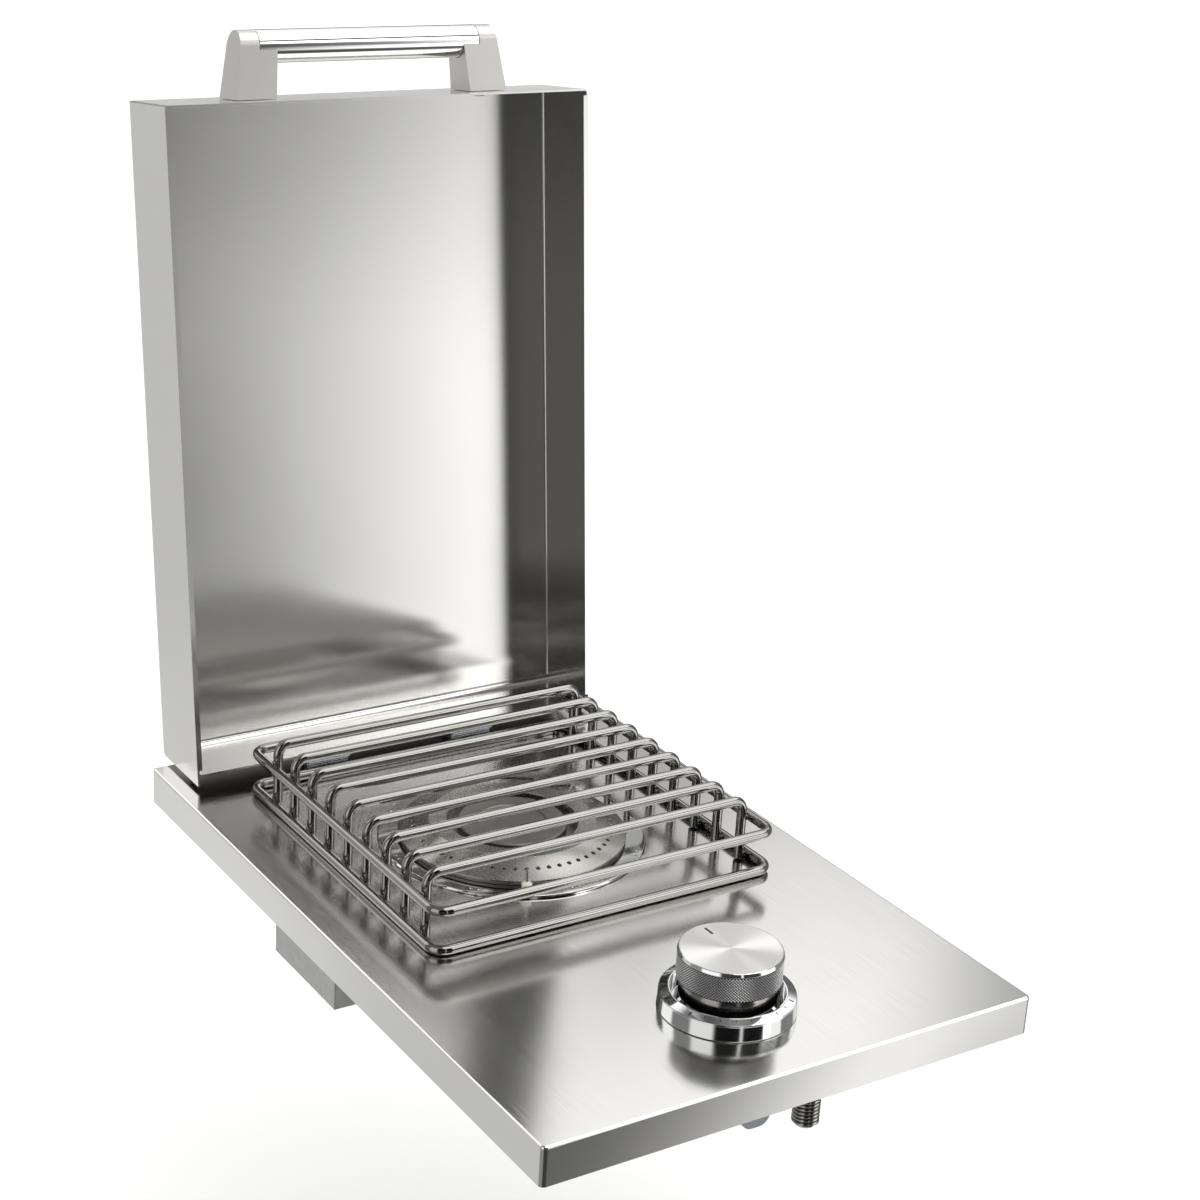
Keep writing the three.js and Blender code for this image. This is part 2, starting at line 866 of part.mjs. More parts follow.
// Push collar, and the stem whose shoulder presses it down on the spring
function makeStem() {
  const collar = turned([
    [stemRadius + seam, collarTop - collarThickness],
    [collarRadius, collarTop - collarThickness],
    [collarRadius, collarTop],
    [stemRadius + seam, collarTop],
  ], midSides);
  add('push_collar', collar, zinc, knobRow);
  const shoulder = collarTop + seam;
  const bottom = valveTop - stemEngagement;
  const stem = turned([
    [0, bottom],
    [stemRadius, bottom],
    [stemRadius, shoulder],
    [shoulderRadius, shoulder],
    [shoulderRadius, shoulder + shoulderThickness],
    [stemRadius, shoulder + shoulderThickness],
    [stemRadius, stemTip],
    [0, stemTip],
  ], smallSides);
  add('valve_stem', stem, brass, knobRow);
}

// Bezel: a chromed collar on the plate, with a bevelled top and a deep well round the knob
function makeBezel() {
  const floor = top + seam;
  const bezel = turned([
    [stemHole, floor],
    [bezelRadius, floor],
    [bezelRadius - bezelDraft, top + bezelWallHeight],
    [bezelTopRadius, top + bezelHeight],
    [bezelTopRadius - bezelRim, top + bezelHeight],
    [bezelTopRadius - bezelRim - bezelDraft, floor + bezelFloor],
    [stemHole, floor + bezelFloor],
  ], wideSides);
  add('knob_bezel', bezel, polished, knobRow);
}

// Knob: a turned shell over a hollow hub whose boss grips the stem
function makeKnob() {
  const bore = hubRadius - seam;
  const ceiling = knobTop - knobFace;
  const shell = turned([
    [0, ceiling],
    [bore, ceiling],
    [bore, shellBottom],
    [knobRadius, shellBottom],
    [knobRadius, knobTop - knobChamfer],
    [knobRadius - knobTopDraft, knobTop],
    [0, knobTop],
  ], wideSides);
  add('knob_shell', shell, satin, knobRow);
  const [plug, plugTop] = [bore - seam, ceiling - seam];
  const grip = stemRadius + seam;
  const hub = turned([
    [grip, hubBottom],
    [grip + hubBoss, hubBottom],
    [grip + hubBoss, plugTop - hubRoof],
    [hubRadius - hubWall, plugTop - hubRoof],
    [hubRadius - hubWall, hubBottom],
    [hubRadius - hubEdge, hubBottom],
    [hubRadius, hubBottom + hubEdge],
    [hubRadius, shellBottom - seam],
    [plug, shellBottom - seam],
    [plug, plugTop],
    [0, plugTop],
    [0, plugTop - hubRoof],
    [grip, plugTop - hubRoof],
  ], midSides);
  add('knob_hub', hub, darkHub, knobRow);
}

// Gas inlet: an elbow from the valve's foot and a threaded flare fitting that points down
function makeInlet() {
  const row = groupAt(inletOffset, -inletAhead, top - valveFootDrop + elbowRise, knobRow);
  const start = valveFootOffset + valveFootWidth / 2 + seam - inletOffset;
  const leg = crossDrill(elbowRadius, start, 0, 0, 0);
  const hexTop = elbowHexHeight - elbowLength;
  const drop = solidOf(cylinder(elbowRadius, hexTop - overrun, elbowRadius));
  const hexagon = solidOf(prism(polygon(elbowHexRadius, hexSides), -elbowLength, hexTop));
  const socketTop = inletShankLength + seam - elbowLength;
  const socket = drill(inletShankRadius + seam, -elbowLength - overrun, socketTop, 0, 0);
  add('inlet_elbow', cut(join(leg, drop, hexagon), socket), brass, row);
  const threadTop = -elbowLength - seam;
  const threadEnd = threadTop - inletThreadLength;
  const profile = [
    [inletBore, threadEnd - inletNose],
    [inletNoseRadius, threadEnd - inletNose],
    [inletThreadRadius, threadEnd],
  ];
  const grooves = Math.floor(inletThreadLength / inletThreadPitch) - 1;
  for (let i = 1; i <= grooves; i += 1) {
    const height = threadEnd + i * inletThreadPitch;
    profile.push([inletThreadRadius, height - inletThreadPitch / 2]);
    profile.push([inletThreadRadius - inletThreadDepth, height]);
  }
  profile.push([inletThreadRadius, threadTop]);
  profile.push([inletShankRadius, threadTop]);
  profile.push([inletShankRadius, threadTop + inletShankLength]);
  profile.push([inletBore, threadTop + inletShankLength]);
  add('inlet_fitting', turned(profile, smallSides), blackNickel, row);
}

// Grate: two rod rings, one above the other, with bent bars welded inside them
function grateRing(height) {
  const halves = hands.map(([, sign]) => {
    const [x, y] = [(sign * grateWidth) / 2, grateLength / 2];
    const path = bentPath([
      [-sign * overrun, -y, height],
      [x, -y, height],
      [x, y, height],
      [-sign * overrun, y, height],
    ], grateCorner);
    return solidOf(rod(path, rodDiameter / 2));
  });
  return join(...halves);
}

function makeGrate() {
  const radius = rodDiameter / 2;
  const row = groupAt(0, grateY, 0);
  add('grate_lower_ring', grateRing(top + seam + radius), wire, row);
  add('grate_upper_ring', grateRing(top + upperRingHeight), wire, row);
  const legX = grateWidth / 2 - rodDiameter - seam;
  for (let i = 0; i < barCount; i += 1) {
    const y = (i - (barCount - 1) / 2) * barPitch;
    const path = bentPath([
      [-legX, y, top + legLift],
      [-legX, y, top + barHeight],
      [legX, y, top + barHeight],
      [legX, y, top + legLift],
    ], barBend);
    add(`grate_bar_${i + 1}`, rod(path, radius), wire, row);
  }
}

// Lid, drawn closed in a frame on the hinge axis, then turned open
const lidSetback = knobFromFront - bezelRadius - lidFrontClear - sheet;
const axisHeight = seam + leafThickness + knuckleRadius - knuckleBite;
const axisY = backY - lidBehind - lidTail;
const rimZ = lidGap - axisHeight;
const lidHalf = halfPlate - lidInset;
const lidFront = frontY + lidSetback - axisY;
const lidTop = rimZ + lidDepth;
const hingeWallY = lidTail - lidOverhang;
const hingeRow = groupAt(0, axisY, top + axisHeight);
const lidGroup = groupAt(0, axisY, top + axisHeight);
lidGroup.rotation.x = -(quarterTurn + lidLean);

// Lid shell: a folded tray with hemmed side rims, its side walls running past the hinge wall
function makeLidShell() {
  const turnY = lidTail - (lidDepth - lidCorner) * Math.tan(lidLean) - lidCorner;
  const turnZ = lidTop - lidCorner;
  const side = new THREE.Shape();
  side.moveTo(lidFront, rimZ);
  side.lineTo(lidTail, rimZ);
  side.absarc(turnY, turnZ, lidCorner, 0, quarterTurn);
  side.lineTo(lidFront, lidTop);
  const ends = roundedOutline(lidHalf * 2, lidDepth * 2, foldRadius);
  const plan = roundedOutline(lidHalf * 2, -lidFront * 2, foldRadius);
  const blank = solidOf(crosswise(side, -lidHalf, lidHalf))
    .intersect(solidOf(lengthwise(ends, lidFront, lidTail).translate(0, 0, lidTop - lidDepth)))
    .intersect(solidOf(prism(plan, rimZ, lidTop)));
  const wallHalf = lidHalf - sheet;
  const hemHalf = lidHalf - hemThickness;
  const hemTop = rimZ + hemDepth;
  const innerFront = lidFront + sheet;
  const innerBack = hingeWallY - sheet;
  const innerCorner = lidCorner - sheet;
  const room = new THREE.Shape();
  room.moveTo(innerFront, hemTop);
  room.lineTo(innerBack, hemTop);
  room.absarc(turnY, turnZ, innerCorner, Math.acos((innerBack - turnY) / innerCorner), quarterTurn);
  room.lineTo(innerFront, lidTop - sheet);
  const hollow = solidOf(crosswise(room, -wallHalf, wallHalf));
  const [low, high] = [rimZ - overrun, hemTop + overrun];
  const mouth = box(-hemHalf, hemHalf, innerFront, innerBack, low, high);
  const notchFront = box(-wallHalf, wallHalf, innerFront, innerFront + hemSetback, low, high);
  const notchBack = box(-wallHalf, wallHalf, innerBack - hemSetback, innerBack, low, high);
  const behind = box(-wallHalf, wallHalf, hingeWallY, lidTail + overrun, low, lidTop + overrun);
  const screwHoles = hands.map(([, sign]) => lengthDrill(
    handleScrewRadius + seam,
    lidFront - overrun,
    innerFront + overrun,
    (sign * (handleLength - handlePost)) / 2,
    rimZ + lidDepth / 2,
  ));
  const shell = cut(blank, hollow, mouth, notchFront, notchBack, behind, ...screwHoles);
  add('lid_shell', shell, brushed, lidGroup);
}

// Hinges: a leaf on the plate, a leaf on the lid's hinge wall, and a pin through their knuckles
function makeHinges() {
  const half = hingeWidth / 2;
  const third = half / 3;
  const floor = seam - axisHeight;
  const leafBack = hingeWallY + seam;
  for (const [side, sign] of hands) {
    const x = (sign * hingeSpacing) / 2;
    const [start, end] = [x - half, x + half];
    const [innerStart, innerEnd] = [x - third, x + third];
    const knuckle = (x0, x1, spare = 0) => crossDrill(knuckleRadius + spare, x0, x1, 0, 0);
    const bore = crossDrill(pinRadius + seam, start - overrun, end + overrun, 0, 0);
    const plateLeaf = cut(
      box(start, end, 0, plateLeafLength, floor, floor + leafThickness),
      knuckle(innerStart - seam, innerEnd + seam, seam),
    );
    const outer = [knuckle(start, innerStart - seam), knuckle(innerEnd + seam, end)];
    add(`hinge_plate_leaf_${side}`, cut(join(plateLeaf, ...outer), bore), satin, hingeRow);
    const flatLeaf = box(
      start,
      end,
      leafBack,
      leafBack + leafThickness,
      -knuckleRadius,
      lidLeafLength,
    );
    const lidLeaf = cut(
      flatLeaf,
      knuckle(start - overrun, innerStart, seam),
      knuckle(innerEnd, end + overrun, seam),
    );
    const web = box(innerStart, innerEnd, leafBack, 0, -knuckleRadius / 2, knuckleRadius / 2);
    const lidHinge = cut(join(lidLeaf, web, knuckle(innerStart, innerEnd)), bore);
    add(`hinge_lid_leaf_${side}`, lidHinge, satin, lidGroup);
    const pin = turned([
      [0, -half - seam - pinHead],
      [pinHeadRadius, -half - seam - pinHead],
      [pinHeadRadius, -half - seam],
      [pinRadius, -half - seam],
      [pinRadius, half + pinHead],
      [0, half + pinHead],
    ], smallSides);
    add(`hinge_pin_${side}`, alongX(pin).translate(x, 0, 0), zinc, hingeRow);
  }
}

// Lid stops: rubber buttons on the plate that carry the open lid's side walls
function makeLidStops() {
  const open = quarterTurn + lidLean;
  const wallEdge = top + axisHeight - lidTail * Math.sin(open) + rimZ * Math.cos(open);
  const y = axisY + lidTail + stopBehind;
  for (const [side, sign] of hands) {
    const x = sign * (lidHalf - hemThickness / 2);
    const stop = cylinder(stopRadius, top + seam, wallEdge - seam);
    add(`lid_stop_${side}`, stop, rubber, groupAt(x, y, 0));
  }
}

// Handle, drawn upright on the lid's end wall: a polished tube between two tapered posts
function makeHandle() {
  const handle = groupAt(0, lidFront, rimZ + lidDepth / 2, lidGroup);
  handle.rotation.x = quarterTurn;
  const axis = handleReach - barTubeRadius;
  const half = handleLength / 2;
  const tubeHalf = half - handleEnd;
  const inner = half - handlePost;
  const screwX = half - handlePost / 2;
  const arch = new THREE.Shape();
  arch.moveTo(-handleBase / 2, seam);
  arch.lineTo(handleBase / 2, seam);
  arch.absarc(0, axis, barTubeRadius, 0, Math.PI);
  const seat = crossDrill(barTubeRadius + seam, -tubeHalf - seam, tubeHalf + seam, 0, axis, midSides);
  for (const [side, sign] of hands) {
    const face = outline([
      [sign * half, 0],
      [sign * inner, 0],
      [sign * (inner - handleInnerTaper), handleReach + overrun],
      [sign * (half - handleTaper), handleReach + overrun],
    ]);
    const profile = solidOf(lengthwise(face, -handleBase, handleBase));
    const post = solidOf(crosswise(arch, -half - overrun, half + overrun)).intersect(profile);
    const hole = drill(handleScrewRadius + seam, 0, handleScrewDepth, sign * screwX, 0);
    add(`handle_post_${side}`, cut(post, seat, hole), satin, handle);
    const head = -sheet - seam;
    const screw = turned([
      [0, head - handleScrewHead],
      [handleScrewHeadRadius - handleScrewHead / 2, head - handleScrewHead],
      [handleScrewHeadRadius, head],
      [handleScrewRadius, head],
      [handleScrewRadius, handleScrewDepth - handleScrewTip],
      [0, handleScrewDepth - handleScrewTip],
    ], smallSides);
    add(`handle_screw_${side}`, screw.translate(sign * screwX, 0, 0), zinc, handle);
  }
  const bore = barTubeRadius - barTubeWall;
  const bar = turned([
    [bore, -tubeHalf],
    [barTubeRadius, -tubeHalf],
    [barTubeRadius, tubeHalf],
    [bore, tubeHalf],
  ], midSides);
  add('handle_bar', alongX(bar).translate(0, 0, axis), polished, handle);
}

makeTopPlate();
makeBurnerChannel();
makeBaseRing();
makeBurnerPot();
makeOuterRing();
makeInnerCap();
makePotMount();
makeIgniter();
makeMixer();
makeGasTube();
makeValve();
makeValveBracket();
makeSpring();
makeStem();
makeBezel();
makeKnob();
makeInlet();
makeGrate();
makeLidShell();
makeHinges();
makeLidStops();
makeHandle();

export default part;
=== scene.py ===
import math

import bmesh
import bpy
from mathutils import Matrix, Vector


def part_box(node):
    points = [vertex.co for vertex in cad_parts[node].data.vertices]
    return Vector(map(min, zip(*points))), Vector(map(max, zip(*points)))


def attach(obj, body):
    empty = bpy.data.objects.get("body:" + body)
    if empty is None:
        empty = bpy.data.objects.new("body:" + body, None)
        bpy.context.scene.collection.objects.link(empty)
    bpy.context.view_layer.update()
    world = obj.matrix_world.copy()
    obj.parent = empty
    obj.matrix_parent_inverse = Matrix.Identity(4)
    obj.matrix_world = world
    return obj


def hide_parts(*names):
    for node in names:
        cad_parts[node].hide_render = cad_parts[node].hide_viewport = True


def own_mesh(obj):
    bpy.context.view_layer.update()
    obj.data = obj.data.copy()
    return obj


# Built-in gas side burner: folded steel plate, burner under a wire grate, knob, open lid with a bar handle.
# Shapes are worked out in millimetres and stored in metres.
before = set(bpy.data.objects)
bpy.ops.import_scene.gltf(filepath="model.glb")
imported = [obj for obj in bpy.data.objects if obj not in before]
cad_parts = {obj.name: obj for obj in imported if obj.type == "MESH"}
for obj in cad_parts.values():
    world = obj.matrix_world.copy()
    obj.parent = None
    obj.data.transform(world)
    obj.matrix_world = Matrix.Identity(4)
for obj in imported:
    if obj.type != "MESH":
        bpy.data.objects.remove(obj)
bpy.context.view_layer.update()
mm = 0.001
together = 0.002  # corners closer than this in mm are one
sideways = Matrix.Rotation(math.pi / 2, 4, "Y")  # turns a piece made round Z to lie along X
print("frame loaded:", len(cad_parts), "nodes")


# Colours and nodes
def colour(hexCode):  # sRGB hex to the linear colour that shaders take
    def linear(c):
        return c / 12.92 if c <= 0.04045 else ((c + 0.055) / 1.055) ** 2.4

    return (*[linear(int(hexCode[i : i + 2], 16) / 255) for i in (1, 3, 5)], 1.0)


def fill(tree, node, feeds):  # feeds are links or values, by socket name or number
    for key, value in feeds.items():
        if isinstance(value, bpy.types.NodeSocket):
            tree.links.new(value, node.inputs[key])
        else:
            node.inputs[key].default_value = value


def addNode(tree, kind, feeds=None, **settings):
    node = tree.nodes.new(kind)
    for name, value in settings.items():
        setattr(node, name, value)
    fill(tree, node, feeds or {})
    return node


def nodeOut(tree, kind, feeds=None, **settings):  # a new node's first output
    return addNode(tree, kind, feeds, **settings).outputs[0]


def maths(tree, operation, *values):
    return nodeOut(tree, "ShaderNodeMath", dict(enumerate(values)), operation=operation)


def mapped(tree, value, low, high, start=0.0, end=1.0, **settings):  # start to end becomes low to high
    return nodeOut(tree, "ShaderNodeMapRange", {
        "Value": value, "From Min": start, "From Max": end, "To Min": low, "To Max": high,
    }, **settings)


def newMaterial(name, hexCode, metallic, roughness, **more):
    material = bpy.data.materials.new(name)
    material.use_nodes = True
    tree = material.node_tree
    shader = tree.nodes["Principled BSDF"]
    fill(tree, shader, {"Base Color": colour(hexCode), "Metallic": metallic, "Roughness": roughness, **more})
    material.diffuse_color = colour(hexCode)
    return material, tree, shader


# Geometry Nodes trees
def newTree(name, inputs):  # returns the tree and the sockets of its inputs, by name
    tree = bpy.data.node_groups.new(name, "GeometryNodeTree")
    tree.interface.new_socket(name="Geometry", in_out="OUTPUT", socket_type="NodeSocketGeometry")
    for label, kind in [("Geometry", "Geometry"), *inputs, ("Finish", "Material")]:
        tree.interface.new_socket(name=label, in_out="INPUT", socket_type="NodeSocket" + kind)
    return tree, addNode(tree, "NodeGroupInput").outputs


def closeTree(tree, geometry, finish):  # instances made real, then the finish
    real = nodeOut(tree, "GeometryNodeRealizeInstances", {"Geometry": geometry})
    whole = nodeOut(tree, "GeometryNodeMergeByDistance", {"Geometry": real, "Distance": 0.003 * mm})
    painted = nodeOut(tree, "GeometryNodeSetMaterial", {"Geometry": whole, "Material": finish})
    addNode(tree, "NodeGroupOutput", {"Geometry": painted})
    return tree


def makeRodTree():  # a wire bent at the corners of a line, and its copies in a row
    tree, given = newTree("bentRods", [
        ("Rod Radius", "Float"), ("Bend Radius", "Float"), ("Sides", "Int"), ("Copies", "Int"),
        ("Pitch", "Vector"),
    ])
    line = nodeOut(tree, "GeometryNodeMeshToCurve", {"Mesh": given["Geometry"]})
    bent = nodeOut(tree, "GeometryNodeFilletCurve", {
        "Curve": line, "Radius": given["Bend Radius"], "Count": 9, "Limit Radius": True,
    }, mode="POLY")
    section = nodeOut(tree, "GeometryNodeCurvePrimitiveCircle", {
        "Resolution": given["Sides"], "Radius": given["Rod Radius"],
    })
    wire = nodeOut(tree, "GeometryNodeCurveToMesh", {
        "Curve": bent, "Profile Curve": section, "Fill Caps": True,
    })
    smooth = nodeOut(tree, "GeometryNodeSetShadeSmooth", {"Geometry": wire})
    row = nodeOut(tree, "GeometryNodeMeshLine", {"Count": given["Copies"], "Offset": given["Pitch"]})
    copies = nodeOut(tree, "GeometryNodeInstanceOnPoints", {"Points": row, "Instance": smooth})
    return closeTree(tree, copies, given["Finish"])


def makeRoundTree():  # one sector copied round the Z axis into a whole ring
    tree, given = newTree("copiesRound", [("Count", "Int")])
    row = nodeOut(tree, "GeometryNodeMeshLine", {"Count": given["Count"], "Offset": (0, 0, 0)})
    share = maths(tree, "DIVIDE", nodeOut(tree, "GeometryNodeInputIndex"), given["Count"])
    turn = nodeOut(tree, "ShaderNodeCombineXYZ", {"Z": maths(tree, "MULTIPLY", share, math.tau)})
    copies = nodeOut(tree, "GeometryNodeInstanceOnPoints", {
        "Points": row, "Instance": given["Geometry"], "Rotation": turn,
    })
    return closeTree(tree, copies, given["Finish"])


def makeBeadTree():  # a small weld bead on each point, each turned a little differently
    tree, given = newTree("weldBeads", [("Bead Radius", "Float"), ("Stretch", "Vector"), ("Seed", "Int")])
    ball = nodeOut(tree, "GeometryNodeMeshIcoSphere", {"Radius": given["Bead Radius"], "Subdivisions": 3})
    place = nodeOut(tree, "GeometryNodeInputPosition")
    rough = nodeOut(tree, "ShaderNodeTexNoise", {"Vector": place, "Scale": 900.0})
    uneven = nodeOut(tree, "ShaderNodeVectorMath", {
        0: place, "Scale": mapped(tree, rough, 0.8, 1.2),
    }, operation="SCALE")
    lump = nodeOut(tree, "GeometryNodeSetPosition", {"Geometry": ball, "Position": uneven})
    smooth = nodeOut(tree, "GeometryNodeSetShadeSmooth", {"Geometry": lump})
    tilt = nodeOut(tree, "FunctionNodeRandomValue", {
        0: (-0.3, -0.3, -0.3), 1: (0.3, 0.3, 0.3), "Seed": given["Seed"],
    }, data_type="FLOAT_VECTOR")
    copies = nodeOut(tree, "GeometryNodeInstanceOnPoints", {
        "Points": given["Geometry"], "Instance": smooth, "Rotation": tilt, "Scale": given["Stretch"],
    })
    return closeTree(tree, copies, given["Finish"])


rodTree, roundTree, beadTree = makeRodTree(), makeRoundTree(), makeBeadTree()


# Outlines and meshes
def filleted(points, steps=3):  # a closed outline; points are (a, b) or (a, b, corner radius)
    line = []
    most = 0.48  # share of a side that one corner takes, so that two corners never meet
    for i, point in enumerate(points):
        here = Vector(point[:2])
        if len(point) < 3:
            line.append(tuple(here))
            continue
        back = Vector(points[i - 1][:2]) - here
        ahead = Vector(points[(i + 1) % len(points)][:2]) - here
        reach = min(point[2] / math.tan(back.angle(ahead) / 2), back.length * most, ahead.length * most)
        start, end = here + back.normalized() * reach, here + ahead.normalized() * reach
        for step in range(steps + 1):
            t = step / steps
            line.append(tuple(start * (1 - t) ** 2 + here * (2 * t * (1 - t)) + end * t**2))
    return line


def roundSpot(shape, radius, height, angle):
    return shape.verts.new((radius * math.cos(angle), radius * math.sin(angle), height))


def turned(outline, segments=96):  # a closed outline of radius and height, turned round Z
    shape = bmesh.new()
    rings = []
    for radius, height in outline:
        if radius == 0:
            rings.append([shape.verts.new((0, 0, height))] * segments)
            continue
        angles = [math.tau * i / segments for i in range(segments)]
        rings.append([roundSpot(shape, radius, height, angle) for angle in angles])
    for low, high in zip(rings, rings[1:] + rings[:1]):
        for i in range(segments):
            j = (i + 1) % segments
            corners = list(dict.fromkeys([low[i], low[j], high[j], high[i]]))
            if len(corners) > 2:
                shape.faces.new(corners)
    return shape


def sidesOf(outline, near):  # the sides of a closed outline, and the one whose middle is nearest to near
    sides = list(zip(outline, outline[1:] + outline[:1]))
    return sides, min(sides, key=lambda side: ((Vector(side[0]) + Vector(side[1])) / 2 - Vector(near)).length)


def addStrips(shape, sides, patch, spans):  # all sides but patch, swept round Z from angle to angle
    for side in sides:
        if side is not patch:
            for start, end in spans:
                corners = [(side[0], start), (side[0], end), (side[1], end), (side[1], start)]
                shape.faces.new([roundSpot(shape, *spot, angle) for spot, angle in corners])


def ringSector(outline, columns, near, rim, depth, steps=4):
    # One sector of a turned ring. Columns are (angle, port radius); ports sit on the side nearest to near
    shape = bmesh.new()
    sides, patch = sidesOf(outline, near)
    turnSense = sum(a[0] * b[1] - b[0] * a[1] for a, b in sides)
    low, along = Vector(patch[0]), Vector(patch[1]) - Vector(patch[0])
    middle = low.x + along.x / 2
    inward = Vector((-along.y, along.x)).normalized() * math.copysign(1, turnSense)
    firstTurn = math.radians(225)  # a port's border starts at its lower left corner

    def patchSpot(centre, across, up, sink=0):  # across in mm along the arc, up as a share of the side
        radius, height = low + along * up + inward * sink
        return roundSpot(shape, radius, height, centre + across / middle)

    angle = 0
    for width, port in columns:
        for step in range(steps):
            arc = (angle + width * step / steps, angle + width * (step + 1) / steps)
            addStrips(shape, sides, patch, [arc])
        centre, half = angle + width / 2, width * middle / 2
        angle += width
        cells = [-half + 2 * half * i / steps for i in range(steps + 1)]
        rows = [i / steps for i in range(steps + 1)]
        if not port:
            for a, b in zip(cells, cells[1:]):
                for c, d in zip(rows, rows[1:]):
                    corners = [(a, c), (b, c), (b, d), (a, d)]
                    shape.faces.new([patchSpot(centre, *corner) for corner in corners])
            continue
        border = [(a, 0) for a in cells[:-1]] + [(half, c) for c in rows[:-1]]
        border += [(a, 1) for a in cells[:0:-1]] + [(-half, c) for c in rows[:0:-1]]
        loops = [[patchSpot(centre, *place) for place in border]]
        for radius, sink in [(port + rim, 0), (port, rim), (port, depth)]:
            loop = []
            for i in range(len(border)):
                turn = firstTurn + math.tau * i / len(border)
                rise = radius * math.sin(turn) / along.length
                loop.append(patchSpot(centre, radius * math.cos(turn), 0.5 + rise, sink))
            loops.append(loop)
        for outer, inner in zip(loops, loops[1:]):
            for i in range(len(border)):
                j = (i + 1) % len(border)
                shape.faces.new([outer[i], outer[j], inner[j], inner[i]])
        shape.faces.new(loops[-1])
    bmesh.ops.remove_doubles(shape, verts=shape.verts, dist=together)
    return shape


def knurlSector(outline, near, count, rows, depth):  # one column of a diamond knurl on a turned ring
    shape = bmesh.new()
    half = math.pi / count
    sides, patch = sidesOf(outline, near)
    addStrips(shape, sides, patch, [(-half, 0), (0, half)])
    (radius, bottom), (_, ceiling) = patch
    for row in range(rows):
        low = bottom + (ceiling - bottom) * row / rows
        high = bottom + (ceiling - bottom) * (row + 1) / rows
        middle, crest = (low + high) / 2, radius + depth
        floor = roundSpot(shape, radius, middle, 0)
        left, right = roundSpot(shape, crest, middle, -half), roundSpot(shape, crest, middle, half)
        foot = roundSpot(shape, radius if row == 0 else crest, low, 0)
        head = roundSpot(shape, radius if row == rows - 1 else crest, high, 0)
        places = [(low, -half), (low, half), (high, half), (high, -half)]
        corners = [roundSpot(shape, radius, height, angle) for height, angle in places]
        rim = [corners[0], foot, corners[1], right, corners[2], head, corners[3], left]
        for a, b in zip(rim, rim[1:] + rim[:1]):
            shape.faces.new([floor, a, b])
    bmesh.ops.remove_doubles(shape, verts=shape.verts, dist=together)
    return shape


def threaded(radius, pitch, depth, start, end, segments=48, rows=112):
    # An outside thread cut on a cylinder
    shape = bmesh.new()
    grid = []
    for row in range(rows + 1):
        height = start + (end - start) * row / rows
        runout = min(1, (height - start) / pitch * 2, (end - height) / pitch * 2)
        line = []
        for i in range(segments):
            phase = ((height / pitch - i / segments) % 1) * 2
            groove = depth * (1 - abs(phase - 1)) * max(runout, 0)
            line.append(roundSpot(shape, radius - groove, height, math.tau * i / segments))
        grid.append(line)
    for low, high in zip(grid, grid[1:]):
        for i in range(segments):
            j = (i + 1) % segments
            shape.faces.new([low[i], low[j], high[j], high[i]])
    shape.faces.new(grid[0][::-1])
    shape.faces.new(grid[-1])
    return shape


def polyline(corners):
    shape = bmesh.new()
    spots = [shape.verts.new(c) for c in corners]
    for a, b in zip(spots, spots[1:]):
        shape.edges.new((a, b))
    return shape


def nodeShape(node):  # a merged copy of a CAD node, in millimetres, its flat faces whole again
    shape = bmesh.new()
    shape.from_mesh(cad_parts[node].data)
    shape.transform(Matrix.Scale(1 / mm, 4))
    bmesh.ops.remove_doubles(shape, verts=shape.verts, dist=together)
    bmesh.ops.dissolve_limit(shape, angle_limit=math.radians(0.8), verts=shape.verts, edges=shape.edges)
    return shape


def span(node):
    low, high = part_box(node)
    return low / mm, high / mm


def applied(piece):  # modifiers turned into plain mesh
    graph = bpy.context.evaluated_depsgraph_get()
    mesh = bpy.data.meshes.new_from_object(piece.evaluated_get(graph))
    piece.modifiers.clear()
    piece.data = mesh
    return piece


def makePiece(
    name, shape, finish, slot, nodes, body="base", place=None, edge=0, sharp=38, tree=None, **inputs,
):  # edge is the width in mm of a bevel on what is sharper than sharp, in degrees
    mesh = bpy.data.meshes.new(name)
    shape.to_mesh(mesh)
    shape.free()
    mesh.transform(Matrix.Scale(mm, 4))
    piece = bpy.data.objects.new(name, mesh)
    bpy.context.scene.collection.objects.link(piece)
    mesh.materials.append(finish)
    if tree:
        growth = piece.modifiers.new("growth", "NODES")
        growth.node_group = tree
        items = tree.interface.items_tree
        sockets = {item.name: item.identifier for item in items if item.in_out == "INPUT"}
        for label, value in {**inputs, "Finish": finish}.items():
            growth[sockets[label.replace("_", " ")]] = value
        applied(piece)
    if place:
        move = place.copy()
        move.translation *= mm
        piece.data.transform(move)
    if edge:
        bevel = piece.modifiers.new("edges", "BEVEL")
        bevel.width = edge * mm
        bevel.segments = 2
        bevel.limit_method = "ANGLE"
        bevel.angle_limit = math.radians(sharp)
        bevel.use_clamp_overlap = True
        applied(piece)
    piece.data.shade_smooth()
    piece.data.set_sharp_from_angle(angle=math.radians(sharp))
    weight = piece.modifiers.new("normals", "WEIGHTED_NORMAL")
    weight.keep_sharp = True
    applied(piece)
    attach(piece, body)
    if nodes:
        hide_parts(*nodes)
    return piece


# Materials: each is named for the real one and how it was made
def objectPlace(tree):
    return addNode(tree, "ShaderNodeTexCoord").outputs["Object"]


def relief(tree, height, strength, depth):  # depth in mm
    return nodeOut(tree, "ShaderNodeBump", {"Height": height, "Strength": strength, "Distance": depth * mm})


def blend(tree, share, first, second):
    feeds = {0: share, 6: colour(first), 7: colour(second)}
    return addNode(tree, "ShaderNodeMix", feeds, data_type="RGBA").outputs[2]


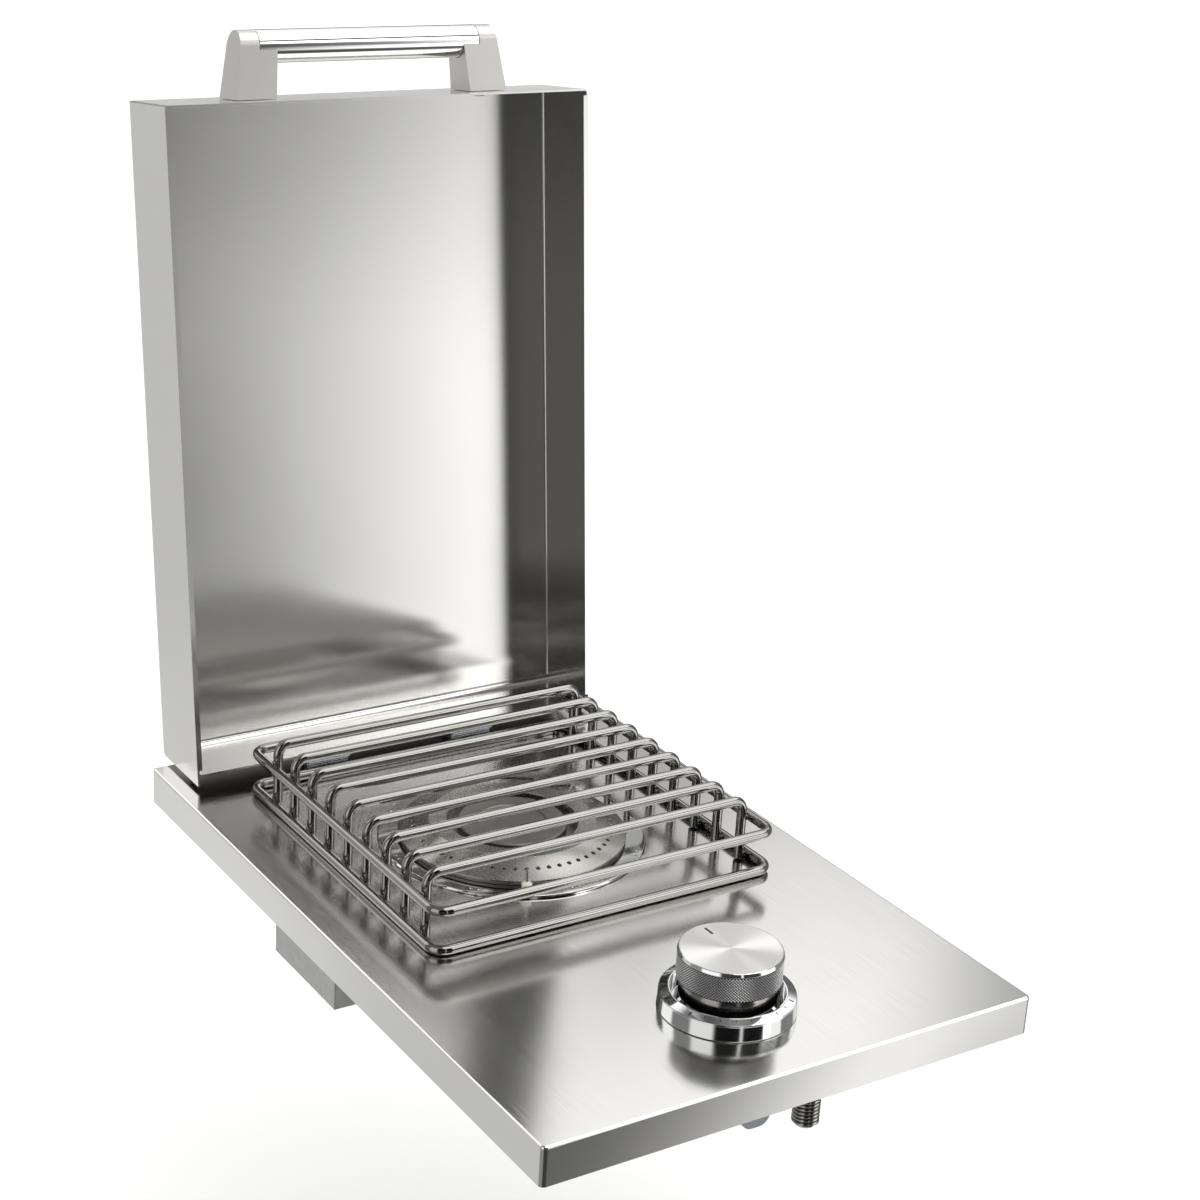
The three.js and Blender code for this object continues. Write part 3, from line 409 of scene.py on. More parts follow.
def makeBrushedSheet(name, turn, look):
    # Stainless sheet, belt-brushed along its length: it smears what it mirrors across the grain
    material, tree, shader = newMaterial(name, look["colour"], 1.0, look["roughLow"])
    length = nodeOut(tree, "ShaderNodeCombineXYZ", {"X": 0.05, "Y": math.cos(turn), "Z": -math.sin(turn)})
    lay = nodeOut(tree, "ShaderNodeVectorTransform", {"Vector": length}, vector_type="VECTOR",
                  convert_from="OBJECT", convert_to="WORLD")
    place = objectPlace(tree)
    across, along = look["grainWidth"] * mm, look["grainLength"] * mm
    laid = nodeOut(tree, "ShaderNodeMapping", {
        "Vector": place, "Rotation": (turn, 0, 0), "Scale": (1 / across, 1 / along, 1 / across),
    })
    grain = nodeOut(tree, "ShaderNodeTexNoise", {"Vector": laid, "Scale": 1.0, "Detail": 3.0})
    cloud = nodeOut(tree, "ShaderNodeTexNoise", {"Vector": place, "Scale": 1 / (look["cloud"] * mm)})
    fine = mapped(tree, grain, look["roughLow"], look["roughHigh"], 0.3, 0.7)
    broad = mapped(tree, cloud, -0.03, 0.03)
    fill(tree, shader, {
        "Anisotropic": look["smear"], "Anisotropic Rotation": 0.25, "Tangent": lay,
        "Roughness": maths(tree, "ADD", fine, broad), "Normal": relief(tree, grain, look["bump"], 0.02),
    })
    return material


def makeGrained(name, hexCode, metallic, low, high, grain, bump, depth, tint=None):
    # A surface with an even grain: roughness and, where given, tint vary with it
    material, tree, shader = newMaterial(name, hexCode, metallic, (low + high) / 2)
    place = objectPlace(tree)
    patch = 14  # grains across a patch of tint
    speck = nodeOut(tree, "ShaderNodeTexNoise", {"Vector": place, "Scale": 1 / (grain * mm), "Detail": 4.0})
    feeds = {
        "Roughness": mapped(tree, speck, low, high, 0.3, 0.7), "Normal": relief(tree, speck, bump, depth),
    }
    if tint:
        broad = nodeOut(tree, "ShaderNodeTexNoise", {
            "Vector": place, "Scale": 1 / (grain * patch * mm), "Detail": 2.0,
        })
        feeds["Base Color"] = blend(tree, broad, hexCode, tint)
    fill(tree, shader, feeds)
    return material


def axisRadius(tree, x, y):  # distance from an upright axis
    moved = nodeOut(tree, "ShaderNodeMapping", {
        "Vector": objectPlace(tree), "Location": (-x * mm, -y * mm, 0),
    })
    parts = addNode(tree, "ShaderNodeSeparateXYZ", {"Vector": moved}).outputs
    flat = nodeOut(tree, "ShaderNodeCombineXYZ", {"X": parts[0], "Y": parts[1]})
    return addNode(tree, "ShaderNodeVectorMath", {0: flat}, operation="LENGTH").outputs["Value"]


def makeGrooveShaded(name, axis, groove, crest, look):
    # Metal cut with a knurl or a thread round an upright axis: bright crests, grooves painted dark as shade
    # and left rougher
    material, tree, shader = newMaterial(name, look["bright"], 1.0, look["clear"])
    height = mapped(tree, axisRadius(tree, *axis), 0.0, 1.0, groove * mm, crest * mm)
    fill(tree, shader, {
        # painted shade: the colour goes from the dark one in the grooves to the bright one on the crests
        "Base Color": blend(tree, height, look["dark"], look["bright"]),
        "Roughness": mapped(tree, height, look["dull"], look["clear"]),
    })
    return material


def makeTurnedAlloy():
    # Lathe-turned aluminium: concentric tool marks that spread light into bright wedges
    material, tree, shader = newMaterial("turnedAluminium", "#f2f1ee", 1.0, 0.36, Anisotropic=0.85)
    low, high = span("knob_shell")
    mark = 0.35 * mm
    reach = axisRadius(tree, (low.x + high.x) / 2, (low.y + high.y) / 2)
    wave = nodeOut(tree, "ShaderNodeTexNoise", {
        "W": maths(tree, "MULTIPLY", reach, 1 / mark), "Scale": 1.0, "Detail": 2.0,
    }, noise_dimensions="1D")
    fill(tree, shader, {
        "Normal": relief(tree, wave, 0.12, 0.02), "Roughness": mapped(tree, wave, 0.32, 0.42),
        "Tangent": nodeOut(tree, "ShaderNodeTangent", direction_type="RADIAL", axis="Z"),
    })
    return material


def makeGalvanised():
    # Hot-dipped sheet: dull zinc with crystals a few millimetres wide
    material, tree, shader = newMaterial("galvanisedSheet", "#c8c9c7", 1.0, 0.42)
    size = 5 * mm
    crystal = addNode(tree, "ShaderNodeTexVoronoi", {
        "Vector": objectPlace(tree), "Scale": 1 / size, "Randomness": 1.0,
    }).outputs["Color"]
    fill(tree, shader, {
        "Base Color": blend(tree, mapped(tree, crystal, 0.0, 1.0), "#bdbebc", "#d3d4d2"),
        "Roughness": mapped(tree, crystal, 0.36, 0.5),
    })
    return material


sheetLook = {
    "colour": "#dfdedb", "grainWidth": 0.5, "grainLength": 45, "cloud": 160,
    "roughLow": 0.13, "roughHigh": 0.18, "bump": 0.05, "smear": 0.3,
}
lidLook = {**sheetLook, "roughLow": 0.155, "roughHigh": 0.185, "bump": 0.03, "smear": 0.8}
lidLean = math.radians(6.1)
sheetSteel = makeBrushedSheet("brushedStainless", 0, sheetLook)
lidSteel = makeBrushedSheet("brushedStainlessLid", -(math.pi / 2 - lidLean), lidLook)
rodSteel = makeGrained("polishedRod", "#9b9a97", 1.0, 0.08, 0.13, 1.2, 0.05, 0.02, tint="#8f8e8a")
mirror = makeGrained("polishedStainless", "#dcdcda", 1.0, 0.05, 0.09, 2.0, 0.02, 0.01)
chrome = makeGrained("brightChrome", "#e3e4e4", 1.0, 0.02, 0.04, 6.0, 0.01, 0.01)
darkChrome = makeGrained("darkChrome", "#a09d98", 1.0, 0.14, 0.2, 2.0, 0.03, 0.01)
turnedAlloy = makeTurnedAlloy()
satinCast = makeGrained("satinCasting", "#d6d4d0", 1.0, 0.34, 0.44, 0.35, 0.18, 0.05)
burnerCast = makeGrained("castAluminium", "#a3a19c", 1.0, 0.38, 0.55, 0.8, 0.35, 0.12, tint="#8c8983")
burnerRing = makeGrained("turnedBurnerRing", "#b9b8b4", 1.0, 0.22, 0.32, 0.7, 0.12, 0.04, tint="#a9a59e")
dieCast = makeGrained("dieCastZinc", "#c8ccd0", 1.0, 0.34, 0.46, 0.7, 0.25, 0.08)
galvanised = makeGalvanised()
zincPlate = makeGrained("zincPlatedSteel", "#b9bcc0", 1.0, 0.22, 0.34, 1.0, 0.08, 0.03, tint="#aab0b8")
drawnTube = makeGrained("drawnAluminiumTube", "#c2c2c0", 1.0, 0.26, 0.36, 1.5, 0.1, 0.03)
brass = makeGrained("machinedBrass", "#c9a45a", 1.0, 0.2, 0.32, 0.8, 0.08, 0.03, tint="#b8924a")
ceramic = makeGrained("glazedCeramic", "#e9e4d8", 0.0, 0.12, 0.2, 1.5, 0.06, 0.03, tint="#ded6c6")
rubber = makeGrained("mouldedRubber", "#1c1c1c", 0.0, 0.6, 0.8, 0.5, 0.2, 0.05)
enamel = makeGrained("blackEnamelFill", "#111111", 0.0, 0.3, 0.4, 0.4, 0.1, 0.02)
print("materials made:", len(bpy.data.materials))


# Plate, channel and what is folded from sheet
folded = {"edge": 0.25, "channelEdge": 0.35, "crease": 1.2, "shortest": 40}
makePiece("plateShell", nodeShape("top_plate"), sheetSteel, "brushed_sheet", ["top_plate"],
          edge=folded["edge"])
makePiece("channelShell", nodeShape("burner_channel"), galvanised, "galvanised_sheet", ["burner_channel"],
          edge=folded["channelEdge"])
makePiece("bracketShell", nodeShape("valve_bracket"), galvanised, "galvanised_sheet", ["valve_bracket"],
          edge=folded["channelEdge"])
lidSheet = nodeShape("lid_shell")
creases = [e for e in lidSheet.edges if e.calc_length() > folded["shortest"] and e.is_manifold]
creases = [e for e in creases if not e.is_convex and e.calc_face_angle() > 1]
bmesh.ops.bevel(lidSheet, geom=creases, offset=folded["crease"], segments=4, profile=0.5, affect="EDGES")
makePiece("lidShell", lidSheet, lidSteel, "brushed_sheet", ["lid_shell"], "lid", edge=folded["edge"])
print("sheet parts done")


# Burner
burner = {"x": 0, "y": 294.5, "ringSides": 56, "capSides": 24, "basePairs": 8, "igniter": -114}
burnerPlace = Matrix.Translation((burner["x"], burner["y"], 0))
ring = {
    "port": 1.25, "rim": 0.25, "depth": 1.9, "bore": 40, "skirt": 42.3, "crown": 52, "shell": 2.3,
    "foot": 1.1, "soffit": (50.8, 66.4),
}
baseRing = {
    "port": 1.0, "rim": 0.2, "depth": 1.2, "bore": 60, "holeInset": 4, "holeColumn": 5, "edge": 0.9,
    "border": 7.1,
}
cap = {"port": 0.95, "rim": 0.2, "depth": 1.8, "portHeight": 3, "wall": 3, "dish": 21, "dishDepth": 0.8}
potMount = {"bore": 4.3, "spacer": 7, "head": 6.5, "headHeight": 2.4, "shank": 4}
igniter = {"sleeve": 3.2, "neck": 1.9, "pin": 1, "pinLength": 8}


def makeBaseRing():
    low, high = span("burner_base_ring")
    floor, top, wide = low.z, high.z, (high.x - low.x) / 2
    bore, edge, border = baseRing["bore"], baseRing["edge"], baseRing["border"]
    outline = filleted([
        (bore, floor), (wide, floor), (wide, top - edge, 0.3), (wide - 0.7, top, 0.5), (wide - border, top),
        (bore, top, 0.5),
    ])
    reach = wide - baseRing["holeInset"]
    hole = baseRing["holeColumn"] / reach
    side = (math.tau / burner["basePairs"] - 2 * hole) / 6
    columns = [(side, 0)] * 3 + [(hole, baseRing["port"])] * 2 + [(side, 0)] * 3
    turn = burnerPlace @ Matrix.Rotation(math.radians(burner["igniter"]), 4, "Z")
    near = (reach, top)
    makePiece("baseRing", ringSector(outline, columns, near, baseRing["rim"], baseRing["depth"]), mirror,
              "polished_steel", ["burner_base_ring"], place=turn, tree=roundTree, Count=burner["basePairs"])


def makeOuterRing():
    low, high = span("burner_outer_ring")
    floor, top, wide = low.z, high.z, (high.x - low.x) / 2
    bore, skirt, crown = ring["bore"], ring["skirt"], ring["crown"]
    soffit, roof = ring["soffit"], top - ring["shell"]
    outline = filleted([
        (bore, floor), (skirt, floor), (skirt, roof), (soffit[0], roof), (soffit[1], floor),
        (wide, floor, 0.2), (wide, floor + ring["foot"], 0.3), (crown, top, 1.5), (bore + 1, top, 0.5),
        (bore, top - 1, 0.5),
    ])
    columns = [(math.tau / burner["ringSides"], ring["port"])]
    slope = ((wide + crown) / 2, top - 3)
    makePiece("outerRing", ringSector(outline, columns, slope, ring["rim"], ring["depth"]), burnerRing,
              "turned_alloy", ["burner_outer_ring"], place=burnerPlace, tree=roundTree,
              Count=burner["ringSides"])


def makeInnerCap():
    low, high = span("burner_inner_cap")
    floor, top, wide = low.z, high.z, (high.x - low.x) / 2
    inner, roof, dish, sunk = wide - cap["wall"], top - cap["wall"], cap["dish"], top - cap["dishDepth"]
    outline = filleted([
        (0, roof), (inner, roof), (inner, floor), (wide, floor, 0.2), (wide, top - 0.8, 0.4),
        (wide - 0.8, top, 0.4), (dish + 0.8, top, 0.5), (dish, sunk, 0.3), (0, sunk),
    ])
    columns = [(math.tau / burner["capSides"], cap["port"])]
    capTurn = burnerPlace @ Matrix.Rotation(-math.tau / burner["capSides"] / 4, 4, "Z")
    near = (wide, floor + cap["portHeight"])
    makePiece("innerCap", ringSector(outline, columns, near, cap["rim"], cap["depth"]), burnerCast,
              "cast_alloy", ["burner_inner_cap"], place=capTurn, tree=roundTree, Count=burner["capSides"])


def makePotMount():
    makePiece("burnerPot", nodeShape("burner_pot"), burnerCast, "cast_alloy", ["burner_pot"], edge=0.5)
    low, high = span("pot_spacer")
    bore, wide = potMount["bore"], potMount["spacer"]
    outline = filleted([(bore, low.z), (wide, low.z, 0.3), (wide, high.z, 0.3), (bore, high.z)])
    makePiece("potSpacer", turned(outline, 48), zincPlate, "zinc_plated", ["pot_spacer"], place=burnerPlace)
    low, high = span("pot_screw")
    head, shank, seat = potMount["head"], potMount["shank"], low.z + potMount["headHeight"]
    outline = filleted([
        (0, low.z), (head, low.z, 1.2), (head, seat, 0.3), (shank, seat), (shank, high.z, 0.6), (0, high.z),
    ])
    makePiece("potScrew", turned(outline, 48), zincPlate, "zinc_plated", ["pot_screw"], place=burnerPlace)


def makeIgniter():
    low, high = span("igniter_electrode")
    middle = (low + high) / 2
    place = Matrix.Translation((middle.x, middle.y, 0))
    top = high.z - igniter["pinLength"]
    wide, neck, pin = igniter["sleeve"], igniter["neck"], igniter["pin"]
    sleeve = filleted([(0, low.z), (wide, low.z, 0.4), (wide, top - 1.4, 0.6), (neck, top, 0.5), (0, top)])
    makePiece("igniterSleeve", turned(sleeve, 48), ceramic, "glazed_ceramic", ["igniter_electrode"],
              place=place)
    tip = filleted([(0, top - 2), (pin, top - 2), (pin, high.z, 0.9), (0, high.z)])
    makePiece("igniterPin", turned(tip, 32), zincPlate, "zinc_plated", [], place=place)


makeBaseRing()
makeOuterRing()
makeInnerCap()
makePotMount()
makeIgniter()
print("burner done")


# Mixing tube, shutter, orifice and gas tube
feed = {
    "z": -20.5, "tube": 4, "bend": 14, "startX": 17.3, "startY": 72, "farX": 128, "endX": 105.3, "throat": 9,
    "wall": 1.5, "bell": 15, "bellLength": 12,
}


def makeFeed():
    low, high = span("mixing_tube")
    place = Matrix.Translation((0, burner["y"], feed["z"])) @ sideways
    throat, wall, bell, flare = feed["throat"], feed["wall"], feed["bell"], high.x - feed["bellLength"]
    outline = filleted([
        (throat, low.x), (throat + wall, low.x, 0.4), (throat + wall, flare, 8), (bell, high.x, 0.4),
        (bell - wall, high.x, 0.4), (throat, flare, 8),
    ], steps=6)
    makePiece("mixingTube", turned(outline, 64), burnerCast, "cast_alloy", ["mixing_tube"], place=place)
    makePiece("airShutter", nodeShape("air_shutter"), zincPlate, "zinc_plated", ["air_shutter"], edge=0.2)
    makePiece("gasOrifice", nodeShape("gas_orifice"), brass, "brass", ["gas_orifice"], edge=0.3)
    corners = [(feed["startX"], feed["startY"]), (feed["farX"], feed["startY"])]
    corners += [(feed["farX"], burner["y"]), (feed["endX"], burner["y"])]
    line = polyline([(x, y, feed["z"]) for x, y in corners])
    makePiece("gasTube", line, drawnTube, "drawn_tube", ["gas_tube"], tree=rodTree, Copies=1, Pitch=(0, 0, 0),
              Rod_Radius=feed["tube"] * mm, Bend_Radius=feed["bend"] * mm, Sides=24)


makeFeed()
print("gas feed done")


# Valve, inlet, stem and spring
valve = {
    "x": 0, "y": 64, "edge": 0.8, "footLean": (-4, 6, 3.5), "footRound": 12, "stem": 4, "ridge": 5.2,
    "ridgeHeight": 1.2, "collarBore": 4.3, "collar": 8.6,
}
# The real thread is finer than this pitch and is drawn coarser so that its turns show
inlet = {
    "x": 38.5, "y": 34, "thread": 7.9, "pitch": 2.3, "depth": 0.6, "nose": 5.6, "noseLength": 2.4,
    # dark is painted shade in the thread's grooves, bright is the crests' colour
    "bore": 3.4, "shank": 4.8, "shankLength": 3.5, "dark": "#100f0e", "bright": "#c9c5c0", "dull": 0.3,
    "clear": 0.16,
}
spring = {"radius": 6.4, "wire": 0.5, "turns": 4, "steps": 24, "travel": 3}
knobPlace = Matrix.Translation((valve["x"], valve["y"], 0))


def makeValve():
    body = nodeShape("gas_valve")
    floor = min(spot.co.z for spot in body.verts)
    # The casting draws in toward its lower end
    underside = [spot for spot in body.verts if spot.co.z < floor + valve["footRound"]]
    bmesh.ops.translate(body, verts=underside, vec=valve["footLean"])
    makePiece("valveBody", body, dieCast, "die_cast", ["gas_valve"], edge=valve["edge"])
    makePiece("inletElbow", nodeShape("inlet_elbow"), brass, "brass", ["inlet_elbow"], edge=0.4)


def makeInlet():
    low, high = span("inlet_fitting")
    place = Matrix.Translation((inlet["x"], inlet["y"], 0))
    start, end = low.z + inlet["noseLength"], high.z - inlet["shankLength"]
    wide, bore, shank = inlet["thread"], inlet["bore"], inlet["shank"]
    axis, groove = (inlet["x"], inlet["y"]), wide - inlet["depth"]
    thread = threaded(wide, inlet["pitch"], inlet["depth"], start, end)
    # black nickel thread, with painted shade in its grooves
    blackNickel = makeGrooveShaded("blackNickelThreadShadedGrooves", axis, groove, wide, inlet)
    makePiece("inletThread", thread, blackNickel, "black_nickel", ["inlet_fitting"], place=place)
    neck = turned([(shank - 0.2, end), (shank, end), (shank, high.z), (shank - 0.2, high.z)], 48)
    makePiece("inletShank", neck, brass, "brass", [], place=place)
    outline = filleted([
        (bore, low.z), (inlet["nose"], low.z, 0.3), (wide - 0.7, start - 0.02, 0.2), (bore, start - 0.02),
    ])
    makePiece("inletNose", turned(outline, 64), mirror, "polished_steel", [], place=place)


def makeStem():
    low, high = span("valve_stem")
    collarLow, collarHigh = span("push_collar")
    foot, head = collarHigh.z + 0.3, collarHigh.z + 0.3 + valve["ridgeHeight"]
    stem, ridge = valve["stem"], valve["ridge"]
    outline = filleted([
        (0, low.z), (stem, low.z, 0.4), (stem, foot), (ridge, foot, 0.2), (ridge, head, 0.2), (stem, head),
        (stem, high.z, 0.5), (0, high.z),
    ])
    makePiece("valveStem", turned(outline, 48), brass, "brass", ["valve_stem"], "knob", place=knobPlace)
    floor, top, bore, wide = collarLow.z, collarHigh.z, valve["collarBore"], valve["collar"]
    outline = filleted([(bore, floor), (wide, floor, 0.3), (wide, top, 0.3), (bore, top)])
    makePiece("pushCollar", turned(outline, 64), zincPlate, "zinc_plated", ["push_collar"], "collar",
              place=knobPlace)


def makeSpring():
    low, high = span("return_spring")
    radius, wire, steps = spring["radius"], spring["wire"], spring["turns"] * spring["steps"]
    rise = high.z - low.z - 2 * wire
    coil = []
    for i in range(steps + 1):
        angle = math.tau * i / spring["steps"]
        coil.append((radius * math.cos(angle), radius * math.sin(angle), low.z + wire + rise * i / steps))
    piece = makePiece("returnSpring", polyline(coil), zincPlate, "zinc_plated", ["return_spring"],
                      place=knobPlace, tree=rodTree, Rod_Radius=wire * mm, Bend_Radius=0.01 * mm, Sides=12,
                      Copies=1, Pitch=(0, 0, 0))
    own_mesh(piece)


makeValve()
makeInlet()
makeStem()
makeSpring()
print("valve and inlet done")


# Bezel and knob
bezel = {
    "band": 5.7, "drop": 1.7, "lip": 0.9, "well": 1.6, "floor": 1.4, "bore": 7, "bead": 0.6, "groove": 1.1,
}
# The knurl in the photo has about 155 columns, too fine to show from here: it is drawn coarser and deeper
knob = {
    "columns": 104, "rows": 9, "knurl": 0.5, "groove": 28.87, "inside": 27.1, "ledge": 29.2, "chamfer": 2.2,
    # dark is painted shade in the knurl's grooves, bright is the crests' colour
    "trim": 29.4, "bevel": 28.8, "brow": 28.5, "face": 28.2, "dark": "#434241", "bright": "#ffffff",
    "dull": 0.5, "clear": 0.36,
}
hub = {"band": 27.4, "wall": 3, "roof": 4, "neck": 26.8, "boss": 8.3, "bore": 4.3}
bezelMarks = {
    "angles": [90, 200, 214, 228, 242, 256, 270, 284, 298, 312], "main": [90, 200, 312], "width": 0.9,
    "proud": 0.04,
}
pointer = {"length": 7.5, "width": 1.5, "fromCentre": 17.5}


def makeBezel():
    low, high = span("knob_bezel")
    floor, top, wide = low.z, high.z, (high.x - low.x) / 2
    rim, shoulder, base = wide - bezel["band"], top - bezel["drop"], floor + bezel["floor"]
    bore, bead, groove = bezel["bore"], wide - bezel["bead"], wide - bezel["groove"]
    outline = filleted([
        (bore, floor), (wide, floor, 0.5), (bead, shoulder - 0.9, 0.25), (groove, shoulder - 0.75, 0.1),
        (groove, shoulder - 0.35, 0.1), (wide - 0.7, shoulder, 0.25), (rim, top - 0.15, 0.12),
        (rim - 0.15, top, 0.1), (rim - bezel["lip"], top, 0.15), (rim - bezel["well"], base, 0.6),
        (bore, base),
    ])
    makePiece("knobBezel", turned(outline, 192), chrome, "chrome", ["knob_bezel"], place=knobPlace)
    marks = bmesh.new()
    inner, outer = rim + 1.0, wide - 1.9
    slope = (top - 0.15 - shoulder) / (wide - 0.7 - rim)
    for degrees in bezelMarks["angles"]:
        main = degrees in bezelMarks["main"]
        reach = outer if main else (inner + outer) / 2
        half = bezelMarks["width"] / 2 * (1 if main else 0.6)
        angle = math.radians(degrees)
        toward = Vector((math.cos(angle), math.sin(angle), 0))
        aside = Vector((-math.sin(angle), math.cos(angle), 0))
        corners = []
        for lift in (-0.1, bezelMarks["proud"]):
            for radius, sign in [(inner, -1), (inner, 1), (reach, 1), (reach, -1)]:
                height = Vector((0, 0, top - 0.15 - (radius - rim) * slope + lift))
                corners.append(marks.verts.new(toward * radius + aside * half * sign + height))
        under, upper = corners[:4], corners[4:]
        marks.faces.new(upper)
        marks.faces.new(under[::-1])
        for i in range(4):
            j = (i + 1) % 4
            marks.faces.new([under[i], under[j], upper[j], upper[i]])
    makePiece("bezelTicks", marks, enamel, None, [], place=knobPlace)


def makeKnobShell():
    low, high = span("knob_shell")
    bottom, top = low.z, high.z
    chamfer = top - knob["chamfer"]
    groove, inside, ledge = knob["groove"], knob["inside"], knob["ledge"]
    outline = filleted([
        (inside, bottom), (groove - 0.2, bottom), (groove, bottom + 0.25), (groove, chamfer - 0.45),
        (ledge, chamfer - 0.3), (ledge, chamfer - 0.1), (inside, chamfer - 0.1),
    ])
    near = (groove, (bottom + chamfer) / 2)
    column = knurlSector(outline, near, knob["columns"], knob["rows"], knob["knurl"])
    axis, crest = (valve["x"], valve["y"]), groove + knob["knurl"]
    # knurled aluminium, with painted shade in its grooves
    knurled = makeGrooveShaded("knurledAluminiumShadedGrooves", axis, groove, crest, knob)
    makePiece("knobGrip", column, knurled, "turned_alloy", ["knob_shell"], "knob", place=knobPlace, sharp=24,
              tree=roundTree, Count=knob["columns"])
    seat, trim, face = chamfer - 0.08, knob["trim"], knob["face"]
    outline = filleted([
        (face + 0.05, seat), (trim, seat, 0.2), (trim - 0.02, chamfer + 0.25, 0.15),
        (knob["bevel"], top - 0.3, 0.25), (knob["brow"], top - 0.02, 0.12), (face + 0.05, top - 0.02, 0.08),
    ])
    makePiece("knobChamfer", turned(outline, 192), chrome, "chrome", ["knob_shell"], "knob",
              place=knobPlace)
    outline = filleted([(0, seat), (face, seat), (face, top - 0.12, 0.1), (0, top - 0.12)])
    makePiece("knobFace", turned(outline, 192), turnedAlloy, "turned_alloy", ["knob_shell"], "knob",
              place=knobPlace)


def makePointer():
    top = span("knob_shell")[1].z
    slot = bmesh.new()
    half, reach = pointer["width"] / 2, pointer["length"]
    line = filleted([(-half, 0, half), (half, 0, half), (half, reach, half), (-half, reach, half)], steps=6)
    for height in (top - 0.3, top - 0.09):
        slot.faces.new([slot.verts.new((x, y + pointer["fromCentre"], height)) for x, y in line])
    bmesh.ops.bridge_loops(slot, edges=slot.edges[:])
    bmesh.ops.remove_doubles(slot, verts=slot.verts, dist=together)
    bmesh.ops.recalc_face_normals(slot, faces=slot.faces)
    makePiece("knobPointer", slot, enamel, None, [], "knob", place=knobPlace)


def makeHub():
    low, high = span("knob_hub")
    floor, ceiling, bottom = low.z, high.z, span("knob_shell")[0].z - 0.3
    band, neck, boss, bore = hub["band"], hub["neck"], hub["boss"], hub["bore"]
    inner, roof = band - hub["wall"], ceiling - hub["roof"]
    outline = filleted([
        (boss, floor, 0.3), (boss, roof, 0.5), (inner, roof, 0.5), (inner, floor, 0.3),
        (inner + 0.8, floor, 0.6), (band, floor + 2.2, 1.6), (band, bottom, 0.3), (neck, bottom),
        (neck, ceiling), (0, ceiling), (0, roof), (bore, roof), (bore, floor, 0.2),
    ])
    makePiece("knobHub", turned(outline, 128), darkChrome, "dark_chrome", ["knob_hub"], "knob",
              place=knobPlace)


makeBezel()
makeKnobShell()
makePointer()
makeHub()
print("knob done")


# Grate
grate = {
    "rod": 3.1, "corner": 9.5, "bend": 7, "rise": 2.6, "bars": 9, "pitch": 24.2, "sides": 28, "bead": 2.1,
    "lap": 0.02,
}


def makeGrate():
    low, high = span("grate_lower_ring")
    radius = grate["rod"]
    left, right, front, back = low.x + radius, high.x - radius, low.y + radius, high.y - radius
    levels = []
    for name, node in [("lowerRing", "grate_lower_ring"), ("upperRing", "grate_upper_ring")]:
        height = (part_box(node)[0].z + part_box(node)[1].z) / 2 / mm  # the wire's middle
        levels.append(height)
        lap = grate["lap"] / 2  # the wire's two ends meet at the middle of the front
        line = polyline([
            (-lap, front, height), (right, front, height), (right, back, height), (left, back, height),
            (left, front, height), (lap, front, height),
        ])
        makePiece(name, line, rodSteel, "polished_rod", [node], tree=rodTree, Rod_Radius=radius * mm,
                  Bend_Radius=grate["corner"] * mm, Sides=grate["sides"], Copies=1, Pitch=(0, 0, 0))
    low, high = span("grate_bar_1")
    legLeft, legRight, y = low.x + radius, high.x - radius, low.y + radius
    top = high.z - radius + grate["rise"]
    line = polyline([(legLeft, y, low.z), (legLeft, y, top), (legRight, y, top), (legRight, y, low.z)])
    makePiece("crossBars", line, rodSteel, "polished_rod",
              [f"grate_bar_{i + 1}" for i in range(grate["bars"])], tree=rodTree, Rod_Radius=radius * mm,
              Bend_Radius=grate["bend"] * mm, Sides=grate["sides"], Copies=grate["bars"],
              Pitch=(0, grate["pitch"] * mm, 0))
    welds = bmesh.new()
    for i in range(grate["bars"]):
        for side in (legLeft - radius, legRight + radius):
            for height in levels:
                welds.verts.new((side, y + i * grate["pitch"], height))
    makePiece("weldBeads", welds, rodSteel, "polished_rod", [], tree=beadTree,
              Bead_Radius=grate["bead"] * mm, Stretch=(0.55, 1.0, 1.0), Seed=7)


makeGrate()
print("grate done")


# Hinges and lid stops
hinge = {"pin": 1.6, "head": 2.6, "headHeight": 1, "edge": 0.25}


def makeHinges():
    for side in ("left", "right"):
        leaf = f"hinge_plate_leaf_{side}"
        makePiece(f"plateLeaf_{side}", nodeShape(leaf), zincPlate, "zinc_plated", [leaf], edge=hinge["edge"])
        leaf = f"hinge_lid_leaf_{side}"
        makePiece(f"lidLeaf_{side}", nodeShape(leaf), zincPlate, "zinc_plated", [leaf], "lid",
                  edge=hinge["edge"])
        low, high = span(f"hinge_pin_{side}")
        middle = (low + high) / 2
        start, end = low.x - middle.x, high.x - middle.x
        head, pin, neck = hinge["head"], hinge["pin"], start + hinge["headHeight"]
        outline = filleted([
            (0, start), (head, start, 0.8), (head, neck), (pin, neck), (pin, end, 0.5), (0, end),
        ])
        makePiece(f"hingePin_{side}", turned(outline, 32), zincPlate, "zinc_plated", [f"hinge_pin_{side}"],
                  place=Matrix.Translation(middle) @ sideways)
        low, high = span(f"lid_stop_{side}")
        middle = (low + high) / 2
        wide = (high.x - low.x) / 2
        outline = filleted([(0, low.z), (wide, low.z, 0.3), (wide, high.z, 0.8), (0, high.z)])
        makePiece(f"lidStop_{side}", turned(outline, 32), rubber, "rubber", [f"lid_stop_{side}"],
                  place=Matrix.Translation((middle.x, middle.y, 0)))


makeHinges()
print("hinges done")


